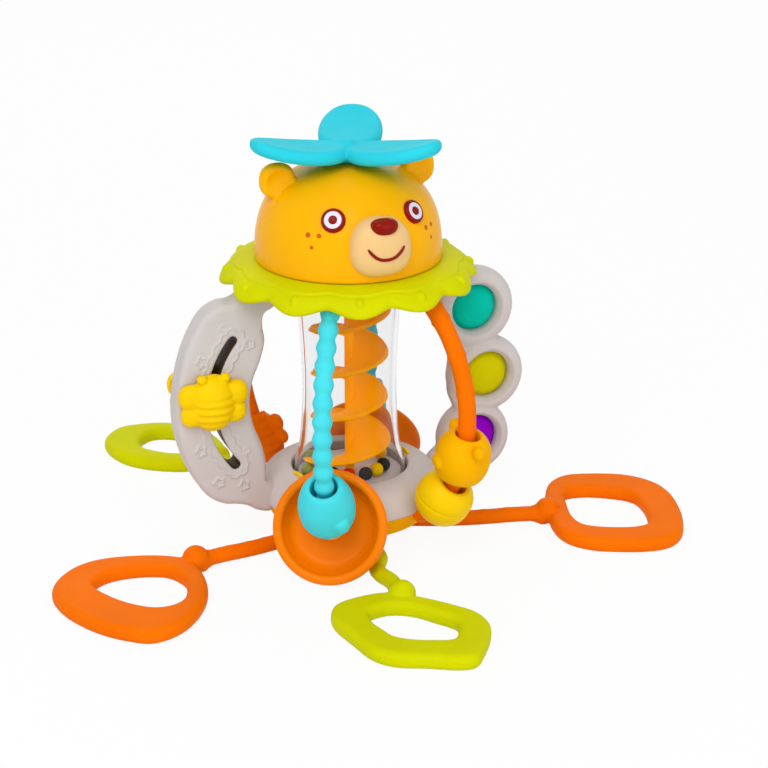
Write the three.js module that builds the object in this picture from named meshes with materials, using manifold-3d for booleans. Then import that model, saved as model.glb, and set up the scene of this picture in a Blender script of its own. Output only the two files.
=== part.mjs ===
// Sensory toy bear: a bear head with a propeller over a clear tumble tube, between a slotted
// handle, a popper panel and four bead arcs, on a round base with four pull rings.
// Millimetres, +Z up. The origin is the centre of the foot's underside and the face looks along -Y.
import * as THREE from 'three';
import Module from 'manifold-3d';
import { mergeVertices } from 'three/addons/utils/BufferGeometryUtils.js';

const wasm = await Module();
wasm.setup();

// Clearances
const gap = 0.3;
const overrun = 2;

// Foot, tray and base
const footRadius = 19.5;
const footHeight = 11;
const footEdge = 0.9;
const trayHeight = 11.2;
const trayInset = 0.5;
const trayTaper = 5.8;
const shellWall = 2.6;
const baseHeight = 14.2;
const baseRadius = 44.8;
const baseLip = 0.9;
const recessDepth = 5.8;
const tabLength = 6;
const tabWidth = 2.2;
const tabHeight = 1.8;

// Clear tube, its slide and the tumbling balls
const tubeFootRadius = 28.3;
const tubeWaistRadius = 23;
const tubeTopRadius = 25.4;
const tubeWall = 2;
const tubeLength = 100.4;
const slideThickness = 2.4;
const slideClearance = 2.2;
const slideRootRise = 5.4;
const slideHeadroom = 14.1;
const postRadius = 2.3;
const ballRadius = 3.4;

// Head floor, collar and head
const floorRadius = 44.2;
const floorHeight = 12.6;
const socketDepth = 4;
const collarThickness = 3;
const collarGrip = 6.2;
const collarOverhang = 3.8;
const collarReach = 14;
const collarScallop = 4.5;
const collarDroop = 8.4;
const headRadius = floorRadius + 2 * gap;
const headHeight = 45.6;
const headWall = 2.4;
const earRadius = 8.6;
const muzzleHalfWidth = 13.8;
const muzzleHalfHeight = 13.4;
const muzzleDepth = 9.4;
const muzzleSink = 2.8;
const noseHalfWidth = 6.8;
const noseHalfHeight = 4;
const noseDepth = 4.6;
const noseReach = 5.6;
const noseLift = 10.4;
const smileHalfWidth = 8.8;
const smileDrop = 6.4;
const smileLift = 1.4;
const smileLineRadius = 0.8;
const eyeRadius = 5.7;
const eyeDome = 1.9;
const pupilRadius = 2.7;
const pupilDome = 0.8;

// Propeller
const petalReach = 50.5;
const petalHalfWidth = 15.5;
const petalHalfThickness = 3.5;
const petalUpturn = 8.4;
const petalRise = 5.4;
const hubRadius = 9;
const hubHeight = 9;
const pinRadius = 2.2;
const pinLength = 5.4;

// Arcs and what is threaded on them
const arcBulge = 27.2;
const arcTopDrop = 3.5;
const rodRadius = 4.2;
const rodNeck = 0.75;
const socketRise = 10.7;
const cyanBendRise = 18;
const orangeBendRise = 3;
const cyanSocketReach = 7.8;
const orangeSocketReach = 2 * gap;
const cyanRestRise = 18.8;
const ballRestRise = 12.3;
const beadSpacing = 3.3;
const cyanBeadHalfLength = 15.5;
const cyanBeadRadius = 13.5;
const cyanBoreRadius = 6.5;
const bearBeadHalfLength = 12.4;
const bearBeadRadius = 13.3;
const bearBoreRadius = 6;
const ballBeadHalfLength = 11.2;
const ballBeadRadius = 13.9;
const dishBoreRadius = 5.6;
const ballBoreRadius = 6.2;
const beeBoreRadius = 6.4;
const beeBeadHalfLength = 12.5;
const beeBeadRadius = 9.6;
const dishRadius = 27;
const dishDepth = 9.4;
const dishWall = 2.4;
const dishFloorRadius = 17;
const dishRimRadius = 2.9;
const dishBack = 2.2;
const bushRadius = 6.2;
const bushLength = 2.6;

// Slotted handle and its bee
const plateThickness = 14;
const plateBevel = 3;
const handleWidth = 44;
const handleToe = 2.5;
const handleTopDrop = 7.8;
const slotWidth = 4.8;
const beeHalfLength = 14.2;
const beeHalfWidth = 9.8;
const beeDepth = 8.4;
const beeWingRadius = 7.4;
const beeWingSpread = 9.4;
const beeFeelerRadius = 2.3;

// Popper panel
const neckThickness = 8.7;
const neckBevel = 2.2;
const neckDrop = 3.6;
const neckRise = 1.5;
const popperThickness = 2.2;
const popperDome = 4.2;
const popperOutset = 1.4;

// Pull rings and cords
const ringThickness = 8;
const ringBevel = 2.9;
const ringLength = 70;
const knobRadius = 6.5;
const neckRadius = 4.8;
const neckReach = 9;
const cordRadius = 3.8;
const cordLift = 1.1;
const cordSway = 3;
const leftCordLength = 57.9;
const frontCordLength = 58.1;
const rightCordLength = 70.6;
const backCordLength = 75.9;

// Angles in degrees, counts and powers
const cyanAngles = { front: -120, back: 60 };
const orangeAngles = { front: -60, back: 120 };
const bushTilt = 25;
const slotHalfAngle = 39;
const beeRestAngle = 3.4;
const tabAngles = { left: -150, right: 15 };
const slideTurns = 3.5;
const slideStartAngle = 159;
const propellerStartAngle = -53;
const eyeAngle = 30;
const lobeCount = 12;
const swellCount = 16;
const crownPower = 2.6;
const facePower = 2.5;

// Shares of the clear height between the base and the head floor, and of a panel lobe
const arcCentreShare = 0.4386;
const lobeShare = 0.225;
const funnelShare = 0.66;
const popperShare = 0.5;

// Shares of the head's radius or height
const earSpreadShare = 0.781;
const earRiseShare = 0.877;
const eyeRiseShare = 0.627;
const muzzleRiseShare = 0.373;

// Shares of the handle's span and width
const slotRadiusShare = 0.445;
const slotHeightShare = 0.522;
const slotReachShare = 0.609;

// Heights where one piece stands on the next
const trayBottom = footHeight + gap;
const trayTop = trayBottom + trayHeight;
const baseBottom = trayTop + gap;
const baseTop = baseBottom + baseHeight;
const recessFloor = baseTop - recessDepth;
const tubeBottom = recessFloor + gap;
const tubeTop = tubeBottom + tubeLength;
const floorBottom = tubeTop + gap - socketDepth;
const floorTop = floorBottom + floorHeight;
const openHeight = floorBottom - baseTop;
const collarBottom = floorTop + gap;
const headBottom = collarBottom + collarThickness + gap;
const headTop = headBottom + headHeight;
const hubBottom = headTop + gap;
const socketHeight = trayBottom + socketRise;

// Radii that follow from the pieces they meet
const trayTopRadius = baseRadius - trayInset;
const trayBottomRadius = trayTopRadius - trayTaper;
const recessRadius = tubeFootRadius + gap;
const socketFace = baseRadius + gap;
const collarInnerRadius = floorRadius - collarGrip;
const collarShoulderRadius = floorRadius + collarOverhang;
const collarLobeRadius = collarShoulderRadius + collarReach;
const muzzleReach = headRadius - muzzleSink;
const muzzleRise = headHeight * muzzleRiseShare;
const eyeRise = headHeight * eyeRiseShare;
const earRise = headHeight * earRiseShare;
const earSpread = headRadius * earSpreadShare;
const lobeRadius = openHeight * lobeShare;
const funnelRadius = lobeRadius * funnelShare;
const popperRadius = lobeRadius * popperShare;

const radians = THREE.MathUtils.degToRad;

// A geometry as a closed solid: shared corners merged, empty triangles dropped, faces outwards
function solid(geometry) {
  const bare = geometry.clone();
  for (const name of Object.keys(bare.attributes)) {
    if (name !== 'position') bare.deleteAttribute(name);
  }
  const merged = mergeVertices(bare);
  const corners = merged.attributes.position;
  const index = merged.index.array;
  const faces = [];
  let volume = 0;
  const [a, b, c] = [new THREE.Vector3(), new THREE.Vector3(), new THREE.Vector3()];
  for (let i = 0; i < index.length; i += 3) {
    const [p, q, r] = [index[i], index[i + 1], index[i + 2]];
    if (p === q || q === r || r === p) continue;
    faces.push([p, q, r]);
    a.fromBufferAttribute(corners, p);
    b.fromBufferAttribute(corners, q);
    c.fromBufferAttribute(corners, r);
    volume += a.dot(b.cross(c));
  }
  const ordered = volume < 0 ? faces.map(([p, q, r]) => [p, r, q]) : faces;
  return new wasm.Manifold(new wasm.Mesh({
    numProp: 3,
    vertProperties: new Float32Array(corners.array),
    triVerts: new Uint32Array(ordered.flat()),
  }));
}

// A solid back as a geometry
function skin(body) {
  const { vertProperties, triVerts } = body.getMesh();
  const geometry = new THREE.BufferGeometry();
  geometry.setAttribute('position', new THREE.BufferAttribute(vertProperties, 3));
  geometry.setIndex(new THREE.BufferAttribute(triVerts, 1));
  geometry.computeVertexNormals();
  return geometry;
}

// A profile of [radius, height] pairs turned about the vertical axis
function turned(profile, segments) {
  const points = profile.map(([radius, height]) => new THREE.Vector2(radius, height));
  return solid(new THREE.LatheGeometry(points, segments).rotateX(Math.PI / 2));
}

// A closed profile that stays clear of the axis
function turnedLoop(profile, segments) {
  return turned([...profile, profile[0]], segments);
}

function ball(radius, segments, rings) {
  return solid(new THREE.SphereGeometry(radius, segments, rings));
}

// An egg with three half sizes; power 2 is an ellipsoid and a higher power is squarer
function egg([halfX, halfY, halfZ], power, segments, rings) {
  const shape = new THREE.SphereGeometry(1, segments, rings);
  const place = shape.attributes.position;
  const point = new THREE.Vector3();
  for (let i = 0; i < place.count; i += 1) {
    point.fromBufferAttribute(place, i);
    const size = (Math.abs(point.x) ** power + Math.abs(point.y) ** power
      + Math.abs(point.z) ** power) ** (1 / power);
    point.divideScalar(size);
    place.setXYZ(i, point.x * halfX, point.y * halfY, point.z * halfZ);
  }
  return solid(shape);
}

function cylinder(radius, bottom, top, segments) {
  return turned([[0, bottom], [radius, bottom], [radius, top], [0, top]], segments);
}

// A closed curve through [x, y] pairs, as evenly spaced points
function smoothOutline(pairs, count) {
  const curve = new THREE.CatmullRomCurve3(
    pairs.map(([x, y]) => new THREE.Vector3(x, y, 0)), true, 'centripetal',
  );
  return curve.getSpacedPoints(count).slice(0, count).map((point) => new THREE.Vector2(point.x, point.y));
}

// A plate with rounded edges cut from a flat outline, centred on the plane of the outline
function plate(outline, holes, thickness, bevel, bevelSteps) {
  const clockwise = (points, wanted) => {
    return THREE.ShapeUtils.isClockWise(points) === wanted ? points : [...points].reverse();
  };
  const shape = new THREE.Shape(clockwise(outline, false));
  shape.holes = holes.map((hole) => new THREE.Path(clockwise(hole, true)));
  const geometry = new THREE.ExtrudeGeometry(shape, {
    depth: thickness - 2 * bevel,
    bevelEnabled: true,
    bevelThickness: bevel,
    bevelSize: bevel,
    bevelOffset: -bevel,
    bevelSegments: bevelSteps,
    curveSegments: 1,
  });
  return solid(geometry).translate([0, 0, bevel - thickness / 2]);
}

// A round rod whose rings are carried along a path in the upright radial plane
function rodAlong(path, radiusAt, steps, sides) {
  const rod = new THREE.CylinderGeometry(1, 1, 1, sides, steps);
  const place = rod.attributes.position;
  for (let i = 0; i < place.count; i += 1) {
    const share = THREE.MathUtils.clamp(place.getY(i) + 0.5, 0, 1);
    const centre = path.getPointAt(share);
    const ahead = path.getTangentAt(share);
    const out = place.getX(i) * radiusAt(share);
    place.setXYZ(i, centre.x - ahead.y * out, place.getZ(i) * radiusAt(share), centre.y + ahead.x * out);
  }
  return solid(rod);
}

const matte = (color) => new THREE.MeshStandardMaterial({ color, roughness: 0.45, metalness: 0 });
const gloss = (color) => new THREE.MeshStandardMaterial({ color, roughness: 0.2, metalness: 0 });
const rubber = (color) => new THREE.MeshStandardMaterial({ color, roughness: 0.6, metalness: 0 });
const clear = (color) => new THREE.MeshStandardMaterial({
  color, roughness: 0.05, metalness: 0, transparent: true, opacity: 0.35,
});

const colours = {
  golden: 0xffb01f,
  trayYellow: 0xffb41a,
  warmGray: 0xc9c0bd,
  tubeClear: 0xeef2f4,
  slideAmber: 0xf5a21a,
  lime: 0xc3d600,
  lemon: 0xf9d800,
  orange: 0xff6a0a,
  cyan: 0x35cfe0,
  teal: 0x00c4b3,
  popLime: 0xcfc400,
  purple: 0x8a0bb0,
  cream: 0xffe2ad,
  darkRed: 0x8c1a14,
  white: 0xffffff,
  olive: 0x8f9a4e,
  black: 0x1c1517,
  red: 0xe23a12,
};

const toy = new THREE.Group();

function add(name, body, material, parent = toy) {
  const mesh = new THREE.Mesh(skin(body), material);
  mesh.name = name;
  parent.add(mesh);
  return mesh;
}

// A group turned about the vertical axis, whose own x axis points outwards
function spoke(angle) {
  const group = new THREE.Group();
  group.rotation.z = radians(angle);
  toy.add(group);
  return group;
}

// Foot
function footBody() {
  return turned([
    [0, 0], [footRadius - footEdge, 0], [footRadius, footEdge], [footRadius, footHeight], [0, footHeight],
  ], 32);
}

// Tray: the yellow lower shell, open at the top
function trayBody() {
  return turned([
    [0, trayBottom],
    [trayBottomRadius - shellWall, trayBottom],
    [trayBottomRadius, trayBottom + shellWall / 2],
    [trayTopRadius, trayTop],
    [trayTopRadius - shellWall, trayTop],
    [trayBottomRadius - shellWall, trayBottom + shellWall],
    [0, trayBottom + shellWall],
  ], 36);
}

// Base: the warm gray upper shell with the recess that holds the tube's foot
function baseOuterRadius(share) {
  return recessRadius + baseLip + (baseRadius - recessRadius - baseLip) * (1 - share ** crownPower) ** (1 / crownPower);
}

function baseBody() {
  const crown = [];
  const crownSteps = 5;
  for (let i = 0; i <= crownSteps; i += 1) {
    const share = Math.sin((i / crownSteps) * (Math.PI / 2));
    crown.push([baseOuterRadius(share), baseBottom + baseHeight * share]);
  }
  return turned([
    [0, recessFloor - shellWall],
    [baseRadius - 2 * shellWall, recessFloor - shellWall],
    [baseRadius - shellWall, baseBottom],
    ...crown,
    [recessRadius, baseTop - baseLip],
    [recessRadius, recessFloor],
    [0, recessFloor],
  ], 36);
}

// Snap tabs: the yellow tongues that lock the tube's foot to the base
function tabBody(angle) {
  const middle = recessRadius + baseLip + tabWidth / 2 + gap;
  const tongue = solid(new THREE.BoxGeometry(tabWidth, tabLength, tabHeight));
  return tongue.translate([middle, 0, baseTop + gap + tabHeight / 2]).rotate([0, 0, angle]);
}

// Tube: an hourglass with a flared foot; shares of its length and of the flare
const tubeFlareShares = [
  [0, 1], [0.055, 1], [0.085, 0.72], [0.14, 0.42], [0.24, 0.18], [0.46, 0],
];
const tubeCrownShares = [[0.46, 0], [0.66, 0.2], [0.84, 0.62], [1, 1]];

function tubeOuter() {
  const lower = tubeFlareShares.map(([height, flare]) => [
    tubeWaistRadius + (tubeFootRadius - tubeWaistRadius) * flare,
    tubeBottom + tubeLength * height,
  ]);
  const upper = tubeCrownShares.slice(1).map(([height, flare]) => [
    tubeWaistRadius + (tubeTopRadius - tubeWaistRadius) * flare,
    tubeBottom + tubeLength * height,
  ]);
  return [...lower, ...upper];
}

function tubeRadiusAt(height) {
  const profile = tubeOuter();
  for (let i = 1; i < profile.length; i += 1) {
    const [lowRadius, low] = profile[i - 1];
    const [highRadius, high] = profile[i];
    if (height <= high) {
      return lowRadius + ((highRadius - lowRadius) * (height - low)) / (high - low);
    }
  }
  return tubeTopRadius;
}

function tubeBody() {
  const outer = tubeOuter();
  const inner = outer.map(([radius, height]) => [radius - tubeWall, height]).reverse();
  return turnedLoop([...outer, ...inner], 28);
}

// Slide: a right-handed helical blade around a thin post, following the tube's waist
function slideBody() {
  const start = recessFloor + slideRootRise + slideThickness;
  const rise = tubeTop - slideHeadroom - start;
  const stepsPerTurn = 14;
  const blade = new THREE.BoxGeometry(1, 1, 1, 1, 1, Math.round(slideTurns * stepsPerTurn));
  const place = blade.attributes.position;
  const root = postRadius * 0.6;
  for (let i = 0; i < place.count; i += 1) {
    const along = place.getZ(i) + 0.5;
    const height = start + rise * along;
    const reach = tubeRadiusAt(height) - tubeWall - slideClearance;
    const radius = root + (reach - root) * (place.getX(i) + 0.5);
    const angle = radians(slideStartAngle) + along * slideTurns * 2 * Math.PI;
    place.setXYZ(i, radius * Math.cos(angle), radius * Math.sin(angle), height + place.getY(i) * slideThickness);
  }
  const post = cylinder(postRadius, recessFloor + gap, floorBottom + socketDepth - gap, 10);
  return solid(blade).add(post);
}

// Head floor: the disc that the tube, the arcs, the handle and the panel run up to
function floorBody() {
  const socket = tubeTopRadius + gap;
  return turned([
    [0, floorBottom + socketDepth],
    [socket, floorBottom + socketDepth],
    [socket, floorBottom],
    [floorRadius - baseLip, floorBottom],
    [floorRadius, floorBottom + baseLip],
    [floorRadius, floorTop],
    [0, floorTop],
  ], 36);
}

// Collar: a drooping skirt whose edge runs in lobes
function collarBody() {
  const half = collarThickness / 2;
  const edge = half * 0.6;
  const shoulderDrop = half * 0.5;
  const section = [
    [collarInnerRadius, collarBottom],
    [collarShoulderRadius, collarBottom],
    [collarShoulderRadius + collarReach * 0.55, collarBottom - collarDroop * 0.42],
    [collarLobeRadius - edge, collarBottom - collarDroop],
    [collarLobeRadius, collarBottom - collarDroop + half],
    [collarLobeRadius - edge, collarBottom - collarDroop + collarThickness],
    [collarShoulderRadius + collarReach * 0.55, collarBottom - collarDroop * 0.42 + collarThickness + shoulderDrop],
    [collarShoulderRadius, collarBottom + collarThickness],
    [collarInnerRadius, collarBottom + collarThickness],
  ];
  const points = [...section, section[0]].map(([radius, height]) => new THREE.Vector2(radius, height));
  const lathe = new THREE.LatheGeometry(points, lobeCount * 4).rotateX(Math.PI / 2);
  const place = lathe.attributes.position;
  const depth = collarScallop / 2;
  const lobeOffset = radians(-90 + 180 / lobeCount);
  for (let i = 0; i < place.count; i += 1) {
    const [x, y] = [place.getX(i), place.getY(i)];
    const radius = Math.hypot(x, y);
    const angle = Math.atan2(y, x);
    const weight = THREE.MathUtils.clamp((radius - collarShoulderRadius) / collarReach, 0, 1);
    const wave = depth * weight * (Math.cos(lobeCount * (angle - lobeOffset)) - 1);
    place.setX(i, x * (1 + wave / radius));
    place.setY(i, y * (1 + wave / radius));
  }
  return solid(lathe);
}

// Head: a squarish dome, height above its base as a function of radius
function domeProfile(radius, height, base, steps) {
  const profile = [];
  for (let i = 0; i <= steps; i += 1) {
    const turn = (i / steps) * (Math.PI / 2);
    profile.push([
      radius * Math.cos(turn) ** (2 / crownPower),
      base + height * Math.sin(turn) ** (2 / crownPower),
    ]);
  }
  profile[steps][0] = 0;
  return profile;
}

function domeRadiusAt(rise) {
  return headRadius * (1 - (rise / headHeight) ** crownPower) ** (1 / crownPower);
}

// The head's outer form grown by a clearance, used to cut what sits on it
function headCutter(clearance, segments) {
  const outer = domeProfile(headRadius + clearance, headHeight + clearance, headBottom, 8);
  return turned([[0, headBottom - overrun], [headRadius + clearance, headBottom - overrun], ...outer], segments);
}

function headBody() {
  const outer = domeProfile(headRadius, headHeight, headBottom, 8);
  const inner = domeProfile(headRadius - headWall, headHeight - headWall, headBottom, 5);
  const core = turned([[0, headBottom], ...inner], 28);
  let body = turned([...inner.reverse(), ...outer], 28);
  for (const side of [-1, 1]) {
    const earSize = [earRadius, earRadius * 0.62, earRadius];
    const centre = [side * earSpread, 0, headBottom + earRise];
    const hollowSize = [earRadius * 0.62, earRadius * 0.3, earRadius * 0.62];
    const hollow = egg(hollowSize, 2, 8, 6).translate([centre[0], -earRadius * 0.68, centre[2]]);
    const ear = egg(earSize, 2.3, 12, 8).translate(centre).subtract(hollow).subtract(core);
    body = body.add(ear);
  }
  return body;
}

function muzzleShape(grow) {
  const size = [muzzleHalfWidth + grow, muzzleDepth + grow, muzzleHalfHeight + grow];
  return egg(size, facePower, 18, 10).translate([0, -muzzleReach, headBottom + muzzleRise]);
}

function muzzleBody() {
  return muzzleShape(0).subtract(headCutter(gap, 28));
}

function noseBody() {
  return egg([noseHalfWidth, noseDepth, noseHalfHeight], 2.2, 14, 10)
    .translate([0, -muzzleReach - noseReach, headBottom + muzzleRise + noseLift])
    .subtract(headCutter(gap, 28))
    .subtract(muzzleShape(gap));
}

// The muzzle's front at a place across and above its centre
function muzzleFront(across, above) {
  const share = (Math.abs(across) / muzzleHalfWidth) ** facePower
    + (Math.abs(above) / muzzleHalfHeight) ** facePower;
  return -muzzleReach - muzzleDepth * (1 - share) ** (1 / facePower);
}

function smileBody() {
  const points = [];
  const steps = 12;
  for (let i = 0; i <= steps; i += 1) {
    const share = (2 * i) / steps - 1;
    const across = smileHalfWidth * share;
    const above = smileLift - smileDrop * (1 - share ** 2);
    const front = muzzleFront(across, above) - smileLineRadius - gap;
    points.push(new THREE.Vector3(across, front, headBottom + muzzleRise + above));
  }
  const path = new THREE.CatmullRomCurve3(points);
  const dot = new THREE.Shape().absarc(0, 0, smileLineRadius, 0, 2 * Math.PI);
  return solid(new THREE.ExtrudeGeometry(dot, {
    steps: 12, curveSegments: 4, extrudePath: path, bevelEnabled: false,
  }));
}

// A domed button whose own axis is Z, placed square to the head at the eye's place
function onEyePlace(body, side) {
  const radius = domeRadiusAt(eyeRise);
  const slope = Math.atan2(
    (eyeRise / headHeight) ** (crownPower - 1) / headHeight,
    (radius / headRadius) ** (crownPower - 1) / headRadius,
  );
  return body
    .rotate([0, 90 - THREE.MathUtils.radToDeg(slope), 0])
    .translate([radius, 0, headBottom + eyeRise])
    .rotate([0, 0, -90 + side * eyeAngle]);
}

function eyeBody(side) {
  const dome = turned([
    [0, -eyeDome], [eyeRadius, -eyeDome], [eyeRadius, gap], [eyeRadius * 0.72, eyeDome * 0.75], [0, eyeDome],
  ], 24);
  return onEyePlace(dome, side).subtract(headCutter(gap, 28));
}

function pupilBody(side) {
  const seat = eyeDome + gap;
  const dome = turned([
    [0, seat], [pupilRadius, seat], [pupilRadius * 0.7, seat + pupilDome * 0.7], [0, seat + pupilDome],
  ], 18);
  return onEyePlace(dome, side);
}

// Propeller: three upturned petals on a domed hub with a blind bore for its pin
function petalBody(angle) {
  const inner = hubRadius * 0.5;
  const halfLength = (petalReach - inner) / 2;
  const middle = (petalReach + inner) / 2;
  const shape = new THREE.SphereGeometry(1, 14, 7);
  const place = shape.attributes.position;
  for (let i = 0; i < place.count; i += 1) {
    const [x, y, z] = [place.getX(i), place.getY(i), place.getZ(i)];
    const plan = Math.hypot(x, y);
    const fuller = plan > 0 ? plan ** 0.72 / plan : 1;
    const along = middle + halfLength * x * fuller;
    const lift = petalUpturn * (along / petalReach) ** 2;
    place.setXYZ(i, along, y * fuller * petalHalfWidth, petalRise + lift + z * petalHalfThickness);
  }
  return solid(shape).translate([0, 0, hubBottom]).rotate([0, 0, angle]);
}

function propellerBody() {
  let body = turned([
    [0, 0], [hubRadius * 0.8, 0], [hubRadius, hubHeight * 0.25], [hubRadius * 0.95, hubHeight * 0.6],
    [hubRadius * 0.6, hubHeight * 0.9], [0, hubHeight],
  ], 14).translate([0, 0, hubBottom]);
  for (let i = 0; i < 3; i += 1) body = body.add(petalBody(propellerStartAngle + i * 120));
  const bore = cylinder(pinRadius + gap, headTop - overrun, headTop + pinLength + 2 * gap, 14);
  return body.subtract(bore);
}

function pinBody() {
  return cylinder(pinRadius, headTop + gap, headTop + gap + pinLength, 14);
}

// Arcs: a circle in the radial plane with a bend at the foot, so that the rod meets the base
const arcReach = baseRadius + arcBulge;
const arcTopRadius = floorRadius - overrun;
const arcCentreHeight = baseTop + openHeight * arcCentreShare;
const arcTopRise = floorTop - arcTopDrop - arcCentreHeight;
const arcCentreRadius = (arcReach ** 2 - arcTopRadius ** 2 - arcTopRise ** 2) / (2 * (arcReach - arcTopRadius));
const arcRadius = arcReach - arcCentreRadius;
const arcTopAngle = Math.atan2(arcTopRise, arcTopRadius - arcCentreRadius);
const arcAngleAt = (height) => Math.asin((height - arcCentreHeight) / arcRadius);
const arcPoint = (angle, radius = arcRadius) => new THREE.Vector2(
  arcCentreRadius + radius * Math.cos(angle),
  arcCentreHeight + radius * Math.sin(angle),
);

// The path runs into the head floor and the base, and the rod is then cut flush with both
function arcPath(bendRise, socketReach) {
  const bendAngle = arcAngleAt(socketHeight + bendRise);
  const bend = arcPoint(bendAngle);
  const inwards = new THREE.Vector2(-Math.cos(radians(bushTilt)), -Math.sin(radians(bushTilt)));
  const seat = new THREE.Vector2(socketFace, socketHeight);
  const straight = seat.clone().addScaledVector(inwards, -socketReach);
  const end = seat.clone().addScaledVector(inwards, overrun);
  const down = new THREE.Vector2(Math.sin(bendAngle), -Math.cos(bendAngle));
  const across = straight.clone().sub(bend);
  const turn = down.x * inwards.y - down.y * inwards.x;
  const length = (across.x * inwards.y - across.y * inwards.x) / turn;
  const control = bend.clone().addScaledVector(down, length);
  const path = new THREE.Path();
  path.absarc(arcCentreRadius, arcCentreHeight, arcRadius, arcTopAngle, bendAngle, true);
  path.quadraticCurveTo(control.x, control.y, straight.x, straight.y);
  path.lineTo(end.x, end.y);
  return path;
}

// Swellings come evenly along the rod and stop where the rod is held
function cyanRadiusAt(share) {
  const held = share > 0.9 || share < 0.02;
  if (held) return rodRadius - rodNeck;
  return rodRadius - rodNeck * (0.5 - 0.5 * Math.cos(2 * Math.PI * swellCount * share));
}

// The dish and its bush sit square to the rod's straight end
function onDishAxis(body, along) {
  const tilt = radians(bushTilt);
  return body
    .rotate([0, 90 - bushTilt, 0])
    .translate([socketFace + along * Math.cos(tilt), 0, socketHeight + along * Math.sin(tilt)]);
}

function dishBody() {
  const rimFloor = dishRadius - 2 * dishRimRadius;
  const profile = [
    [dishBoreRadius, 0], [dishFloorRadius, 0],
    [rimFloor + dishRimRadius * 0.4, dishDepth - dishRimRadius * 1.2],
    [dishRadius - dishRimRadius * 0.3, dishDepth - dishRimRadius * 0.9],
    [dishRadius, dishDepth - dishRimRadius * 0.2],
    [dishRadius - dishRimRadius * 0.5, dishDepth + dishRimRadius * 0.5],
    [dishRadius - dishRimRadius * 1.4, dishDepth + dishRimRadius * 0.4],
    [rimFloor, dishDepth - dishRimRadius * 0.5],
    [dishFloorRadius - dishWall * 0.5, dishWall], [dishBoreRadius, dishWall],
  ];
  return onDishAxis(turnedLoop(profile, 28), dishBack);
}

function bushBody() {
  const start = dishBack + dishWall + gap;
  const profile = [
    [rodRadius + gap - rodNeck, start], [bushRadius, start], [bushRadius, start + bushLength * 0.6],
    [bushRadius * 0.86, start + bushLength], [rodRadius + gap - rodNeck, start + bushLength],
  ];
  return onDishAxis(turnedLoop(profile, 14), 0);
}

// A bead's own axis is Z; threaded puts it square to the rod at an angle of the arc
function threaded(body, angle) {
  const place = arcPoint(angle);
  return body.rotate([0, -THREE.MathUtils.radToDeg(angle), 0]).translate([place.x, 0, place.y]);
}

// A bored bead: shares of its half length and of its radius, from the bottom up
function beadBody(halfLength, radius, bore, shares, segments) {
  const profile = shares.map(([height, wide]) => [radius * wide, halfLength * height]);
  return turnedLoop([[bore, -halfLength], ...profile, [bore, halfLength]], segments);
}

const cyanBeadShares = [
  [-1, 0.66], [-0.8, 0.82], [-0.45, 0.96], [-0.05, 1], [0.35, 0.95], [0.7, 0.8], [0.93, 0.64], [1, 0.58],
];
const bearBeadShares = [
  [-1, 0.6], [-0.86, 0.8], [-0.45, 0.96], [0, 1], [0.45, 0.95], [0.8, 0.76], [1, 0.56],
];
const ballBeadShares = [
  [-1, 0.58], [-0.8, 0.78], [-0.45, 0.95], [0, 1], [0.45, 0.95], [0.8, 0.78], [1, 0.58],
];
const beeBeadShares = [
  [-1, 0.78], [-0.8, 0.84], [-0.6, 0.95], [-0.5, 0.9], [-0.2, 1], [-0.1, 0.95], [0.2, 1], [0.3, 0.93],
  [0.6, 0.92], [0.85, 0.82], [1, 0.74],
];

function cyanBeadBody(angle) {
  const bead = beadBody(cyanBeadHalfLength, cyanBeadRadius, cyanBoreRadius, cyanBeadShares, 18);
  const nub = egg([cyanBeadRadius * 0.24, cyanBeadRadius * 0.24, cyanBeadRadius * 0.32], 2, 8, 5)
    .translate([cyanBeadRadius * 0.86, 0, -cyanBeadHalfLength * 0.42])
    .rotate([0, 0, 52]);
  return threaded(bead.add(nub), angle);
}

function bearBeadBody(angle) {
  let bead = beadBody(bearBeadHalfLength, bearBeadRadius, bearBoreRadius, bearBeadShares, 18);
  for (const side of [-1, 1]) {
    const ear = egg([bearBeadRadius * 0.26, bearBeadRadius * 0.18, bearBeadRadius * 0.26], 2, 8, 5)
      .translate([side * bearBeadRadius * 0.82, 0, bearBeadHalfLength * 0.78])
      .rotate([0, 0, -30]);
    bead = bead.add(ear);
  }
  return threaded(bead, angle);
}

function ballBeadBody(angle) {
  return threaded(beadBody(ballBeadHalfLength, ballBeadRadius, ballBoreRadius, ballBeadShares, 18), angle);
}

function beeBeadBody(angle) {
  let bead = beadBody(beeBeadHalfLength, beeBeadRadius, beeBoreRadius, beeBeadShares, 16);
  const bore = cylinder(beeBoreRadius, -beeBeadHalfLength - overrun, beeBeadHalfLength + overrun, 16);
  for (const [rise, size] of [[0.28, 0.52], [-0.34, 0.4]]) {
    for (const side of [-1, 1]) {
      const wing = egg([beeBeadRadius * size, beeBeadRadius * 0.26, beeBeadRadius * size], 2, 8, 5)
        .translate([side * beeBeadRadius * 1.15, 0, beeBeadHalfLength * rise])
        .rotate([0, 0, 15]);
      bead = bead.add(wing);
    }
  }
  return threaded(bead.subtract(bore), angle);
}

// Rest places of the beads on the arcs, in radians of the arc
const cyanRestAngle = arcAngleAt(socketHeight + cyanRestRise);
const ballRestAngle = arcAngleAt(socketHeight + ballRestRise);
const bearRestAngle = ballRestAngle
  + 2 * Math.asin((ballBeadHalfLength + bearBeadHalfLength + beadSpacing) / (2 * arcRadius));

const handleBottom = trayTop - handleToe;
const handleSpan = floorTop - handleTopDrop - handleBottom;
const slotRadius = handleSpan * slotRadiusShare;
const handleCentre = socketFace + handleWidth * slotReachShare - slotRadius;
const handleCentreHeight = handleBottom + handleSpan * slotHeightShare;

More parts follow.
